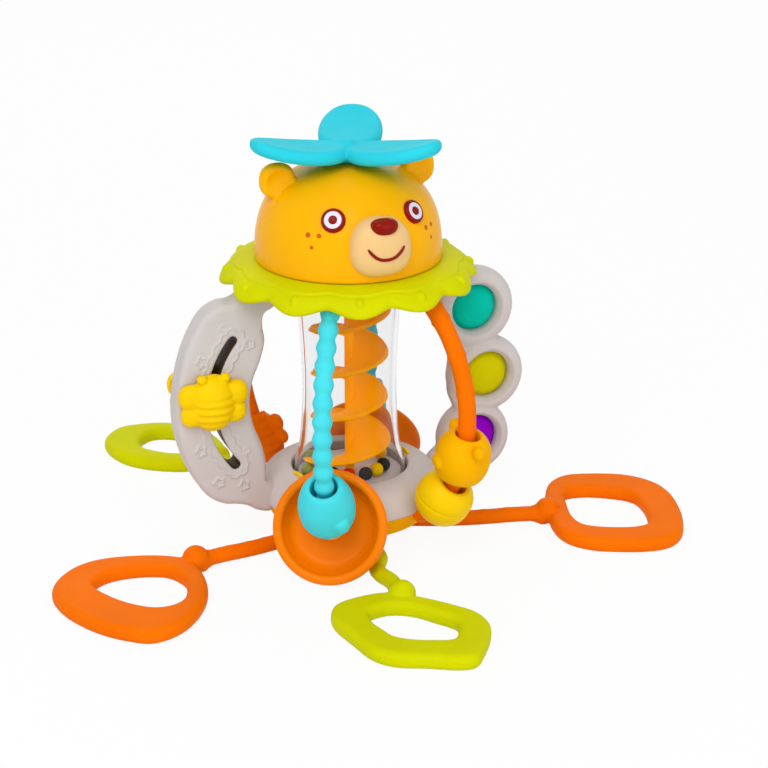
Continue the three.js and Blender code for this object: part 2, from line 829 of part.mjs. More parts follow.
// Handle: an upright crescent in the plane of the X axis; shares of its width and of its height
const handleOuterShares = [
  [-0.12, 1.04], [0.12, 1.04], [0.22, 0.99], [0.34, 0.965], [0.48, 0.96], [0.64, 0.925], [0.79, 0.84],
  [0.91, 0.725], [0.985, 0.585], [1, 0.45], [0.93, 0.31], [0.81, 0.19], [0.65, 0.1], [0.48, 0.06],
  [0.34, 0.05], [0.22, 0.035], [0.12, 0.01], [-0.04, -0.005], [-0.14, 0.03],
];
const handleInnerShares = [
  [-0.1, 0.115], [0.0, 0.15], [-0.01, 0.21], [0.03, 0.3], [0.13, 0.41], [0.165, 0.505], [0.13, 0.6],
  [0.03, 0.7], [-0.02, 0.78], [0.0, 0.85], [-0.02, 0.9], [-0.14, 0.93],
];

function handleOutline() {
  return [...handleOuterShares, ...handleInnerShares].map(([across, up]) => [
    socketFace + across * handleWidth, handleBottom + up * handleSpan,
  ]);
}

function slotOutline() {
  const points = [];
  const steps = 12;
  const arc = new THREE.Path();
  const half = slotWidth / 2;
  const reach = radians(slotHalfAngle);
  for (const [radius, from, to] of [[slotRadius + half, -reach, reach], [slotRadius - half, reach, -reach]]) {
    for (let i = 0; i <= steps; i += 1) {
      const angle = from + ((to - from) * i) / steps;
      points.push([handleCentre + radius * Math.cos(angle), handleCentreHeight + radius * Math.sin(angle)]);
    }
    const [turnX, turnZ] = [
      handleCentre + slotRadius * Math.cos(to), handleCentreHeight + slotRadius * Math.sin(to),
    ];
    for (const degrees of [30, 60, 90, 120, 150]) {
      const angle = (from < to ? to : to + Math.PI) + radians(degrees);
      points.push([turnX + half * Math.cos(angle), turnZ + half * Math.sin(angle)]);
    }
  }
  return points;
}

// Turns a plate drawn flat into the upright plane of the X axis
const upright = (body) => body.rotate([90, 0, 0]);
const asVectors = (points) => points.map(([x, y]) => new THREE.Vector2(x, y));

// What the handle and the panel are seated against: the base and the head floor, grown by a clearance
function seatCutter(clearance) {
  const crown = [];
  const steps = 7;
  for (let i = 0; i <= steps; i += 1) {
    const share = Math.sin((i / steps) * (Math.PI / 2));
    crown.push([baseOuterRadius(share) + clearance, baseBottom + baseHeight * share + clearance]);
  }
  const base = turned([
    [0, 0], [baseRadius + clearance, 0], [baseRadius + clearance, baseBottom], ...crown, [0, baseTop + clearance],
  ], 36);
  const floor = turned([
    [0, floorBottom - clearance], [floorRadius - baseLip, floorBottom - clearance],
    [floorRadius + clearance, floorBottom + baseLip - clearance],
    [floorRadius + clearance, floorTop + overrun], [0, floorTop + overrun],
  ], 36);
  return base.add(floor);
}

function handleBody() {
  const outline = smoothOutline(handleOutline(), 52);
  const body = plate(outline, [], plateThickness, plateBevel, 2);
  const slot = solid(new THREE.ExtrudeGeometry(new THREE.Shape(asVectors(slotOutline())), {
    depth: plateThickness + 2 * overrun, bevelEnabled: false, curveSegments: 1,
  })).translate([0, 0, -plateThickness / 2 - overrun]);
  return upright(body.subtract(slot)).subtract(seatCutter(gap));
}

function beeHalf(front) {
  const bodyEgg = egg([beeHalfWidth, beeHalfLength, beeDepth], 2.3, 12, 8);
  let body = bodyEgg;
  for (const side of [-1, 1]) {
    const upper = egg([beeWingRadius, beeWingRadius, beeDepth * 0.45], 2, 8, 5);
    const lower = egg([beeWingRadius * 0.86, beeWingRadius * 0.86, beeDepth * 0.42], 2, 8, 5);
    const feeler = ball(beeFeelerRadius, 8, 6);
    body = body
      .add(upper.translate([side * beeWingSpread * 0.95, beeHalfLength * 0.26, beeDepth * 0.2]))
      .add(lower.translate([side * beeWingSpread * 0.92, -beeHalfLength * 0.3, beeDepth * 0.2]))
      .add(feeler.translate([side * beeHalfWidth * 0.5, beeHalfLength * 0.98, beeDepth * 0.3]));
  }
  const seat = solid(new THREE.BoxGeometry(1, 1, 1))
    .scale([6 * beeHalfWidth, 6 * beeHalfLength, 4 * beeDepth])
    .translate([0, 0, -2 * beeDepth]);
  body = body.subtract(seat).translate([0, 0, plateThickness / 2 + gap]);
  return front ? body : body.rotate([0, 180, 0]);
}

function atBee(body) {
  const angle = radians(beeRestAngle);
  const place = [handleCentre + slotRadius * Math.cos(angle), handleCentreHeight + slotRadius * Math.sin(angle)];
  return upright(body.translate([place[0], place[1], 0]));
}

function beePinBody() {
  const half = plateThickness / 2;
  return atBee(cylinder(slotWidth / 2 - gap, -half, half, 16));
}

// Panel: three puffed lobes round the poppers, on necks to the base and to the head floor. The shares
// are of a lobe's radius outwards, of the clear height upwards and of a lobe's radius in size.
const lobeShares = [
  { name: 'popper_top', out: 0.945, up: 0.806, size: 1.02, colour: 'teal' },
  { name: 'popper_middle', out: 1.287, up: 0.411, size: 0.98, colour: 'popLime' },
  { name: 'popper_bottom', out: 0.994, up: 0.049, size: 0.93, colour: 'purple' },
];
const lobes = lobeShares.map(({ name, out, up, size, colour }) => ({
  name,
  radius: socketFace + lobeRadius * out,
  height: baseTop + openHeight * up,
  size,
  colour,
}));

function lobeProfile(radius) {
  const half = plateThickness / 2;
  return [
    [funnelRadius, -half], [radius * 0.82, -half], [radius * 0.96, -half * 0.6],
    [radius, 0], [radius * 0.96, half * 0.6], [radius * 0.82, half], [funnelRadius, half],
  ];
}

const neckTop = floorBottom + floorHeight * 0.4;

function panelBody() {
  let body = null;
  const bores = [];
  const half = plateThickness / 2;
  for (const lobe of lobes) {
    const puff = turned([[0, -half], ...lobeProfile(lobeRadius * lobe.size), [0, half]], 20)
      .translate([lobe.radius, lobe.height, 0]);
    body = body ? body.add(puff) : puff;
    const bore = popperRadius + gap;
    bores.push(turned([
      [0, -half - overrun], [funnelRadius + overrun, -half - overrun], [funnelRadius, -half],
      [bore, -half * 0.45], [bore, half * 0.45], [funnelRadius, half],
      [funnelRadius + overrun, half + overrun], [0, half + overrun],
    ], 16).translate([lobe.radius, lobe.height, 0]));
  }
  const top = plate(asVectors([
    [floorRadius - shellWall, floorBottom - shellWall], [lobes[0].radius, floorBottom - shellWall * 4],
    [lobes[0].radius, neckTop - shellWall], [floorRadius - shellWall, neckTop],
  ]), [], neckThickness, neckBevel, 1);
  const bottom = plate(asVectors([
    [baseRadius - shellWall, trayTop - neckDrop], [lobes[2].radius, trayTop + neckRise],
    [lobes[2].radius, lobes[2].height], [baseRadius - shellWall, baseTop - shellWall],
  ]), [], neckThickness, neckBevel, 1);
  const web = plate(asVectors([
    [lobes[0].radius - lobeRadius * 0.4, lobes[0].height - lobeRadius * 0.6],
    [lobes[1].radius - lobeRadius * 0.8, lobes[1].height + lobeRadius * 0.4],
    [lobes[1].radius - lobeRadius * 0.8, lobes[1].height - lobeRadius * 0.4],
    [lobes[2].radius - lobeRadius * 0.4, lobes[2].height + lobeRadius * 0.6],
    [lobes[2].radius + lobeRadius * 0.5, lobes[2].height + lobeRadius * 0.6],
    [lobes[1].radius + lobeRadius * 0.4, lobes[1].height],
    [lobes[0].radius + lobeRadius * 0.5, lobes[0].height - lobeRadius * 0.6],
  ]), [], neckThickness, neckBevel, 1);
  body = body.add(top).add(bottom).add(web);
  for (const bore of bores) body = body.subtract(bore);
  return upright(body).subtract(seatCutter(gap));
}

// Popper: a domed membrane that bulges to the front of the panel
function popperBody(lobe) {
  const base = popperOutset;
  const profile = [
    [0, base + popperDome - popperThickness], [popperRadius * 0.6, base + popperDome * 0.66 - popperThickness],
    [popperRadius * 0.86, base - popperThickness], [popperRadius, base - popperThickness],
    [popperRadius, base], [popperRadius * 0.9, base + popperDome * 0.36],
    [popperRadius * 0.6, base + popperDome * 0.8], [0, base + popperDome],
  ];
  return upright(turned(profile, 18).translate([lobe.radius, lobe.height, 0]));
}

const cordStart = footRadius + gap;
const cordHeight = cordRadius + cordLift;

// Pull rings: outlines through shares of the ring's length, along the cord and to its left
const rings = {
  left: {
    angle: -168.5,
    cord: leftCordLength,
    sway: 0,
    colour: 'orange',
    outerShares: [
      [1.04, -0.07], [0.94, -0.21], [0.76, -0.32], [0.58, -0.34], [0.36, -0.27], [0.15, -0.14], [0.04, 0],
      [0.05, 0.18], [0.11, 0.38], [0.2, 0.54], [0.34, 0.69], [0.49, 0.79], [0.64, 0.83], [0.76, 0.81],
      [0.87, 0.7], [0.97, 0.54], [1.04, 0.34], [1.07, 0.13],
    ],
    innerShares: [
      [0.76, -0.01], [0.64, -0.1], [0.47, -0.1], [0.26, 0.01], [0.21, 0.14], [0.22, 0.28], [0.34, 0.48],
      [0.44, 0.53], [0.55, 0.51], [0.65, 0.4], [0.73, 0.22],
    ],
  },
  front: {
    angle: -94.1,
    cord: frontCordLength,
    sway: cordSway,
    colour: 'lime',
    outerShares: [
      [0.14, -0.53], [0.04, -0.48], [-0.02, -0.36], [-0.04, -0.1], [0.07, 0.08], [0.26, 0.28], [0.4, 0.39],
      [0.55, 0.42], [0.67, 0.39], [0.87, 0.28], [0.98, 0.19], [0.98, 0.08], [0.9, -0.11], [0.82, -0.31],
      [0.7, -0.42], [0.46, -0.49], [0.24, -0.54],
    ],
    innerShares: [
      [0.2, -0.28], [0.15, -0.14], [0.2, -0.01], [0.33, 0.11], [0.47, 0.21], [0.57, 0.2], [0.7, 0.12],
      [0.68, 0], [0.63, -0.13], [0.56, -0.22], [0.46, -0.26], [0.32, -0.3],
    ],
  },
  right: {
    angle: -16,
    cord: rightCordLength,
    sway: 0,
    colour: 'orange',
    outerShares: [
      [0, -0.2], [0, 0.06], [0.03, 0.3], [0.09, 0.48], [0.21, 0.59], [0.4, 0.61], [0.68, 0.56], [0.86, 0.42],
      [0.94, 0.24], [0.96, -0.05], [0.93, -0.3], [0.88, -0.45], [0.78, -0.55], [0.62, -0.59],
      [0.43, -0.58], [0.24, -0.54], [0.1, -0.45], [0.03, -0.34],
    ],
    innerShares: [
      [0.19, 0.31], [0.32, 0.35], [0.51, 0.31], [0.65, 0.23], [0.7, 0.06], [0.7, -0.15], [0.67, -0.28],
      [0.59, -0.33], [0.41, -0.33], [0.23, -0.27], [0.17, -0.14], [0.16, 0.1],
    ],
  },
  back: {
    angle: 112,
    cord: backCordLength,
    sway: 0,
    colour: 'lime',
    outerShares: [
      [0.84, 0.45], [0.93, 0.34], [0.97, 0.2], [0.92, 0.06], [0.84, -0.07], [0.74, -0.16], [0.53, -0.25],
      [0.25, -0.22], [0.06, -0.12], [-0.01, 0.05], [0.06, 0.24], [0.16, 0.35], [0.32, 0.46], [0.5, 0.52],
      [0.69, 0.51],
    ],
    innerShares: [
      [0.6, 0.28], [0.69, 0.19], [0.72, 0.05], [0.63, -0.05], [0.45, -0.09], [0.28, -0.02], [0.2, 0.12],
      [0.28, 0.22], [0.39, 0.28], [0.5, 0.31],
    ],
  },
};

function ringBody(ring) {
  const scaled = (shares) => shares.map(([along, left]) => [along * ringLength, left * ringLength]);
  const outline = smoothOutline(scaled(ring.outerShares), 24);
  const hole = smoothOutline(scaled(ring.innerShares), 14);
  const band = plate(outline, [hole], ringThickness, ringBevel, 2).translate([0, 0, ringThickness / 2]);
  const knob = egg([knobRadius, knobRadius, knobRadius], 2, 10, 8).translate([0, 0, knobRadius]);
  const neck = cylinder(neckRadius, -neckReach, 0, 10).rotate([0, 90, 0]).translate([0, 0, cordHeight]);
  return band.add(knob).add(neck).translate([cordStart + ring.cord + gap + neckReach, 0, 0]);
}

// Cords: from the foot's wall to the ring's neck, resting on the table between them; each route's
// points are shares of its length, of its sway and of its lift
const cordRouteShares = [
  [0, 0, 1], [0.12, 0, 0.85], [0.28, 0.75, 0.35], [0.42, 0.75, 0.06], [0.58, -0.75, 0.06],
  [0.72, -0.75, 0.35], [0.88, 0, 0.85], [1, 0, 1],
];

function cordBody({ cord, sway }) {
  const path = new THREE.CatmullRomCurve3(cordRouteShares.map(([along, side, lift]) => new THREE.Vector3(
    cordStart + cord * along, side * sway, cordRadius + cordLift * lift,
  )));
  const section = new THREE.Shape().absarc(0, 0, cordRadius, 0, 2 * Math.PI);
  return solid(new THREE.ExtrudeGeometry(section, {
    steps: 8, curveSegments: 5, extrudePath: path, bevelEnabled: false,
  }));
}

// Balls lie on the recess floor inside the tube: angle, share of the free radius and colour
const ballPlaces = [
  [-157, 0.96, 'orange'], [-175, 0.98, 'olive'], [-140, 0.72, 'black'], [-112, 0.7, 'red'],
  [-82, 0.72, 'black'], [-55, 0.7, 'lemon'], [-30, 0.74, 'black'], [112, 0.9, 'orange'],
  [138, 0.94, 'olive'], [20, 0.9, 'golden'],
];

function ballBody([angle, share]) {
  const free = tubeFootRadius - tubeWall - ballRadius - gap;
  const [x, y] = [free * share * Math.cos(radians(angle)), free * share * Math.sin(radians(angle))];
  return solid(new THREE.IcosahedronGeometry(ballRadius, 1)).translate([x, y, recessFloor + ballRadius + gap]);
}

add('foot_hub', footBody(), matte(colours.trayYellow));
add('base_tray', trayBody(), matte(colours.trayYellow));
add('base_ring', baseBody(), matte(colours.warmGray));
for (const [name, angle] of Object.entries(tabAngles)) {
  add(`snap_tab_${name}`, tabBody(angle), matte(colours.lemon));
}
add('tumble_tube', tubeBody(), clear(colours.tubeClear));
add('helix_slide', slideBody(), gloss(colours.slideAmber));
ballPlaces.forEach((place, i) => {
  add(`tumble_ball_${String(i + 1).padStart(2, '0')}`, ballBody(place), gloss(colours[place[2]]));
});
add('head_floor', floorBody(), matte(colours.golden));
add('collar', collarBody(), rubber(colours.lime));
add('head_shell', headBody(), gloss(colours.golden));
add('muzzle', muzzleBody(), matte(colours.cream));
add('nose', noseBody(), gloss(colours.darkRed));
add('smile', smileBody(), matte(colours.darkRed));
for (const [name, side] of [['left', -1], ['right', 1]]) {
  add(`eye_${name}`, eyeBody(side), gloss(colours.white));
  add(`pupil_${name}`, pupilBody(side), gloss(colours.darkRed));
}
add('propeller', propellerBody(), rubber(colours.cyan));
add('propeller_pin', pinBody(), matte(colours.warmGray));

for (const [name, angle] of Object.entries(cyanAngles)) {
  const group = spoke(angle);
  const path = arcPath(cyanBendRise, cyanSocketReach);
  const rod = rodAlong(path, cyanRadiusAt, 3 * swellCount, 8).subtract(seatCutter(gap));
  add(`arc_cyan_${name}`, rod, rubber(colours.cyan), group);
  add(`dish_${name}`, dishBody(), gloss(colours.orange), group);
  add(`dish_bush_${name}`, bushBody(), matte(colours.golden), group);
  add(`bead_cyan_${name}`, cyanBeadBody(cyanRestAngle), rubber(colours.cyan), group);
}
for (const [name, angle] of Object.entries(orangeAngles)) {
  const group = spoke(angle);
  const path = arcPath(orangeBendRise, orangeSocketReach);
  const rod = rodAlong(path, () => rodRadius, 22, 10).subtract(seatCutter(gap));
  add(`arc_orange_${name}`, rod, rubber(colours.orange), group);
  if (name === 'front') {
    add('bead_ball', ballBeadBody(ballRestAngle), matte(colours.lemon), group);
    add('bead_bear', bearBeadBody(bearRestAngle), matte(colours.golden), group);
  } else {
    add('bead_bee', beeBeadBody(ballRestAngle), matte(colours.orange), group);
  }
}

const handleGroup = spoke(180);
add('handle', handleBody(), matte(colours.warmGray), handleGroup);
add('bee_front', atBee(beeHalf(false)), matte(colours.lemon), handleGroup);
add('bee_back', atBee(beeHalf(true)), matte(colours.lemon), handleGroup);
add('bee_pin', beePinBody(), matte(colours.warmGray), handleGroup);

const panelGroup = spoke(0);
add('panel', panelBody(), matte(colours.warmGray), panelGroup);
for (const lobe of lobes) add(lobe.name, popperBody(lobe), rubber(colours[lobe.colour]), panelGroup);

for (const [name, ring] of Object.entries(rings)) {
  const group = spoke(ring.angle);
  add(`ring_${name}`, ringBody(ring), rubber(colours[ring.colour]), group);
  add(`cord_${name}`, cordBody(ring), rubber(colours[ring.colour]), group);
}

export default toy;
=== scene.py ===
"""Looks of the sensory toy bear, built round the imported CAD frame.

Each piece is a surface worked out with numpy and given a procedural finish. Lengths in the code
are millimetres, as in the part's source; the meshes are in metres.
"""
import math

import bmesh
import bpy
import numpy as np
from bpy.props import FloatProperty, FloatVectorProperty, IntProperty, PointerProperty
from bpy.types import Operator, Panel, PropertyGroup
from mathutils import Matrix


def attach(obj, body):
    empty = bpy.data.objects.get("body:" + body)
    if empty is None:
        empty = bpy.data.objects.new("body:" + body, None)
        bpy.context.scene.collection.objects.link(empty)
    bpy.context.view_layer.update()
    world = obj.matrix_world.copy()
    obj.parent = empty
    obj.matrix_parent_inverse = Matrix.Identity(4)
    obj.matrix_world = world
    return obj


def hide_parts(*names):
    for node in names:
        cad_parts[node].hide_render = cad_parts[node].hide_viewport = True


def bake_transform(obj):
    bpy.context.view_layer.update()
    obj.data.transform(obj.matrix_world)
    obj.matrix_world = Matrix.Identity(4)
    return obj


bl_info = {
    "name": "Sensory toy bear",
    "version": (1, 0, 0),
    "blender": (4, 5, 0),
    "location": "3D View > Sidebar > Toy bear",
    "description": "Builds the toy bear's pieces, finishes and studio round its CAD frame",
    "category": "Object",
}

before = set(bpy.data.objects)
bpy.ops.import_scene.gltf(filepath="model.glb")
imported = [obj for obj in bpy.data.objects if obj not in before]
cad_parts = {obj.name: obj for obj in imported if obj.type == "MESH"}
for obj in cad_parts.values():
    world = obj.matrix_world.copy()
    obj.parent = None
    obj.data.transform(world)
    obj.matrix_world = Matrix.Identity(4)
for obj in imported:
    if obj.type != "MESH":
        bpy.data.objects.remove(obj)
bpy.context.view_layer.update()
MM = 0.001
MERGE_GAP = 2e-6

# Sizes shared with the part's source
RECESS_FLOOR, TUBE_BOTTOM, TUBE_TOP = 31.2, 31.5, 131.9
COLLAR_BOTTOM, HEAD_BOTTOM, HEAD_RADIUS, HEAD_HEIGHT = 141.1, 144.4, 44.8, 45.6
SOCKET_FACE, SOCKET_HEIGHT, BUSH_TILT = 45.1, 22.0, 25.0
ARC_CENTRE, ARC_RADIUS = np.array([-3.908, 77.0]), 75.908
SLOT_CENTRE, SLOT_RADIUS, SLOT_HALF, SLOT_WALL = np.array([21.611, 78.986]), 50.285, 39.0, 2.4
PLATE = 7.0
DOME_POWER = 2.6
CYAN_SPOKES, ORANGE_SPOKES = {"front": -120, "back": 60}, {"front": -60, "back": 120}
HANDLE_SPOKE = 180


# ---------------------------------------------------------------- lines and angles


def full_turn(count):
    """Even angles round a circle, its first one not repeated."""
    return np.linspace(0, 2 * np.pi, count, endpoint=False)


def compass(angle):
    """Cosine and sine of angles, as pairs."""
    return np.stack([np.cos(angle), np.sin(angle)], -1)


def unit(vectors):
    """Vectors divided by their own lengths."""
    return vectors / np.linalg.norm(vectors, axis=-1, keepdims=True)


def walked(line):
    """How far along a line each of its points lies."""
    return np.concatenate([[0], np.cumsum(np.linalg.norm(np.diff(line, axis=0), axis=1))])


def sampled(line, at):
    """The points of a line at distances along it."""
    s = walked(line)
    return np.column_stack([np.interp(at, s, line[:, k]) for k in range(line.shape[1])])


def shares(*hundredths):
    """Pairs of shares, written in hundredths."""
    return np.reshape(hundredths, (-1, 2)) / 100


def rounded(corners, reach, closed=True, steps=6):
    """Each corner becomes the curve (1-t)^2 a + 2t(1-t) c + t^2 b between points on its sides."""
    p = np.asarray(corners, float)
    reach = np.broadcast_to(reach, len(p))[:, None]

    def towards(q):
        step = q - p
        size = np.maximum(np.linalg.norm(step, axis=1, keepdims=True), 1e-9)
        return p + step / size * np.minimum(reach, 0.48 * size)

    a, b = towards(np.roll(p, 1, 0)), towards(np.roll(p, -1, 0))
    t = np.linspace(0, 1, steps)[None, :, None]
    q = (1 - t) ** 2 * a[:, None] + 2 * t * (1 - t) * p[:, None] + t**2 * b[:, None]
    if not closed:
        q[0], q[-1] = p[0], p[-1]
    return q.reshape(-1, p.shape[1])


def evenly(points, step, closed):
    """Points put in along a line so that none of its stretches is longer than a step."""
    p = np.vstack([points, points[:1]]) if closed else np.asarray(points, float)
    size = np.linalg.norm(np.diff(p, axis=0), axis=1)
    p = p[np.concatenate([[True], size > 1e-6])]
    s = walked(p)
    extra = np.linspace(0, s[-1], int(s[-1] / step) + 2)
    extra = extra[np.abs(extra[:, None] - s[None, :]).min(1) > 0.3 * step]
    out = sampled(p, np.sort(np.concatenate([s, extra])))
    return out[:-1] if closed else out


def curve_through(knots, count, closed=False):
    """Centripetal Catmull-Rom curve through the knots, as evenly spaced points."""
    p = np.asarray(knots, float)
    if closed:
        q = np.vstack([p[-1:], p, p[:2]])
    else:
        q = np.vstack([2 * p[:1] - p[1:2], p, 2 * p[-1:] - p[-2:-1]])
    a, b, c, d = q[:-3], q[1:-2], q[2:-1], q[3:]
    t1, t2, t3 = (np.linalg.norm(v, axis=1)[:, None] ** 0.5 for v in (b - a, c - b, d - c))
    m1 = ((b - a) / t1 - (c - a) / (t1 + t2) + (c - b) / t2) * t2
    m2 = ((c - b) / t2 - (d - b) / (t2 + t3) + (d - c) / t3) * t2
    u = np.linspace(0, 1, 40, endpoint=False)[None, :, None]
    b, c, m1, m2 = (v[:, None] for v in (b, c, m1, m2))
    line = (2 * u**3 - 3 * u**2 + 1) * b + (u**3 - 2 * u**2 + u) * m1
    line = (line + (3 * u**2 - 2 * u**3) * c + (u**3 - u**2) * m2).reshape(-1, p.shape[1])
    line = np.vstack([line, line[:1] if closed else p[-1:]])
    out = sampled(line, np.linspace(0, walked(line)[-1], count + 1 if closed else count))
    return out[:-1] if closed else out


def inset(outline, distance):
    """A closed outline drawn in along its own normals; it runs anticlockwise."""
    ahead = unit(np.roll(outline, -1, 0) - np.roll(outline, 1, 0))
    return outline + np.column_stack([-ahead[:, 1], ahead[:, 0]]) * distance


def around(outline, centre, count):
    """Where rays from a centre at even angles meet an outline."""
    rel = outline - centre
    angle = np.unwrap(np.arctan2(rel[:, 1], rel[:, 0])) % (2 * np.pi)
    order = np.argsort(angle)
    radius = np.linalg.norm(rel, axis=1)
    t = full_turn(count)
    r = np.interp(t, angle[order], radius[order], period=2 * np.pi)
    return centre + compass(t) * r[:, None]


# ---------------------------------------------------------------- shapes as points and faces


def turned_about(points, axis, degrees):
    """Points turned about an axis: the other two coordinates mix by the angle's cosine and sine."""
    c, s = math.cos(math.radians(degrees)), math.sin(math.radians(degrees))
    matrix = {
        "X": [[1, 0, 0], [0, c, -s], [0, s, c]],
        "Y": [[c, 0, s], [0, 1, 0], [-s, 0, c]],
        "Z": [[c, -s, 0], [s, c, 0], [0, 0, 1]],
    }[axis]
    return np.asarray(points, float) @ np.array(matrix).T


def moved(shape, place=(0, 0, 0), axis=None, degrees=0.0):
    """A shape turned about one axis and then shifted."""
    points, faces = shape
    points = turned_about(points, axis, degrees) if axis else points
    return points + np.asarray(place, float), faces


def together(*shapes):
    """Several shapes as one list of points and one of faces."""
    starts = np.cumsum([0] + [len(points) for points, _ in shapes])
    faces = [faces + start for (_, faces), start in zip(shapes, starts)]
    return np.vstack([points for points, _ in shapes]), np.vstack(faces)


def grid(rows, columns, wrap_rows=False):
    """Quads between neighbouring points of a grid whose columns close on themselves."""
    r = np.arange(rows if wrap_rows else rows - 1)[:, None]
    c = np.arange(columns)[None, :]
    r2, c2 = (r + 1) % rows, (c + 1) % columns
    quads = [r * columns + c, r * columns + c2, r2 * columns + c2, r2 * columns + c]
    return np.stack(quads, -1).reshape(-1, 4)


def capped(rings):
    """A stack of closed rings, each end drawn in to the middle of its ring."""
    rings = np.asarray(rings)
    low, high = (np.repeat(end.mean(1, keepdims=True), rings.shape[1], 1)
                 for end in (rings[:1], rings[-1:]))
    rings = np.concatenate([low, rings, high])
    return rings.reshape(-1, 3), grid(len(rings), rings.shape[1])


def lathe(profile, segments=96):
    """A profile of radius and height turned about Z: x = r cos t, y = r sin t, z = h."""
    profile = np.asarray(profile, float)
    t = full_turn(segments)[None, :]
    r, h = profile[:, :1], profile[:, 1:]
    points = np.stack([r * np.cos(t), r * np.sin(t), h + 0 * t], -1).reshape(-1, 3)
    on_axis = profile[0, 0] == 0 and profile[-1, 0] == 0
    return points, grid(len(profile), segments, wrap_rows=not on_axis)


def turned(corners, reach, step=1.0, segments=96):
    """A lathe of a corner list whose corners are rounded."""
    closed = not (corners[0][0] == 0 and corners[-1][0] == 0)
    return lathe(evenly(rounded(corners, reach, closed), step, closed), segments)


def egg(half, power=2.0, rows=40, columns=56):
    """The surface where the powers of x/a, y/b and z/c add up to 1, on a sphere's directions."""
    v = np.linspace(-np.pi / 2, np.pi / 2, rows)[:, None]
    u = full_turn(columns)[None, :]
    d = np.stack([np.cos(v) * np.cos(u), np.cos(v) * np.sin(u), np.sin(v) + 0 * u], -1)
    size = (np.abs(d) ** power).sum(-1, keepdims=True) ** (1 / power)
    return (d / size * np.asarray(half, float)).reshape(-1, 3), grid(rows, columns)


def blob(half, place, power=2.0, turn=None):
    """An egg at a place, turned with it about Z."""
    shape = moved(egg(half, power), place)
    return shape if turn is None else moved(shape, axis="Z", degrees=turn)


def swept(path, radius, up, sides=40, bumps=None):
    """Circles of a radius that changes along a path; bumps(share, angle) adds to the skin."""
    path = np.asarray(path, float)
    ahead = unit(np.gradient(path, axis=0))
    side = unit(np.cross(np.broadcast_to(up, path.shape), ahead))
    top = np.cross(ahead, side)
    a = full_turn(sides)[None, :]
    share = np.linspace(0, 1, len(path))[:, None]
    r = np.broadcast_to(radius, len(path))[:, None] + (bumps(share, a) if bumps else 0)
    ring = side[:, None] * (np.cos(a) * r)[..., None] + top[:, None] * (np.sin(a) * r)[..., None]
    return capped(path[:, None] + ring)


def wart(share, angle, at, way, length, size, spread):
    """A small round rise on a swept skin, at a distance along it and a share of its turn."""
    near = ((share * length - at) / size) ** 2
    near = near + (np.angle(np.exp(1j * (angle - 2 * np.pi * way))) / spread) ** 2
    return np.exp(-near)


def level(outline, height):
    """A flat outline at one height."""
    return np.column_stack([outline, np.full(len(outline), height)])


def edge_section(half, fillet, steps=6):
    """Quarter rounds at an edge, from the upper face to the lower one, as (inset, height)."""
    a = np.linspace(0, np.pi / 2, steps)
    upper = np.column_stack([fillet * (1 - np.sin(a)), half - fillet * (1 - np.cos(a))])
    return np.vstack([upper, (upper * [1, -1])[::-1]])


def edge_rows(outline, half, fillet, steps=6):
    """A closed outline repeated down its rounded edge."""
    return [level(inset(outline, d), h) for d, h in edge_section(half, fillet, steps)]


def band(outer, inner, half, outer_fillet, inner_fillet):
    """A flat loop between two matched outlines, with rounded edges on both."""
    rows = edge_rows(outer, half, outer_fillet)
    rows += [level(inset(inner, -d), h) for d, h in edge_section(half, inner_fillet)[::-1]]
    rows = np.array(rows)
    return rows.reshape(-1, 3), grid(len(rows), rows.shape[1], wrap_rows=True)


def upright(shape):
    """A shape drawn flat, stood up in the plane of the X axis: its top faces -Y."""
    points, faces = shape
    return points[:, [0, 2, 1]] * [1, -1, 1], faces


def on_spoke(shape, angle):
    """A shape drawn along the X axis, turned to its place round the toy."""
    return moved(shape, axis="Z", degrees=angle)


def threaded(shape, degrees):
    """A bead whose own axis is Z, put square to the rod at an angle of the arc."""
    r, z = ARC_CENTRE + ARC_RADIUS * compass(math.radians(degrees))
    return moved(shape, (r, 0, z), "Y", -degrees)


def on_dish_axis(shape, along=0.0):
    """A turned piece put on the dish's tilted axis."""
    t = math.radians(BUSH_TILT)
    place = (SOCKET_FACE + along * math.cos(t), 0, SOCKET_HEIGHT + along * math.sin(t))
    return moved(shape, place, "Y", 90 - BUSH_TILT)


# ---------------------------------------------------------------- meshes


def raw_mesh(name, shape):
    """A mesh of the shape's points in metres: doubles merged, faces turned outwards."""
    points, faces = shape
    mesh = bpy.data.meshes.new(name)
    mesh.from_pydata((points * MM).tolist(), [], faces.tolist())
    work = bmesh.new()
    work.from_mesh(mesh)
    bmesh.ops.remove_doubles(work, verts=work.verts, dist=MERGE_GAP)
    bmesh.ops.recalc_face_normals(work, faces=work.faces)
    work.to_mesh(mesh)
    work.free()
    return mesh


def linked(name, data):
    """A new object of some data, in the scene."""
    made = bpy.data.objects.new(name, data)
    bpy.context.scene.collection.objects.link(made)
    return made


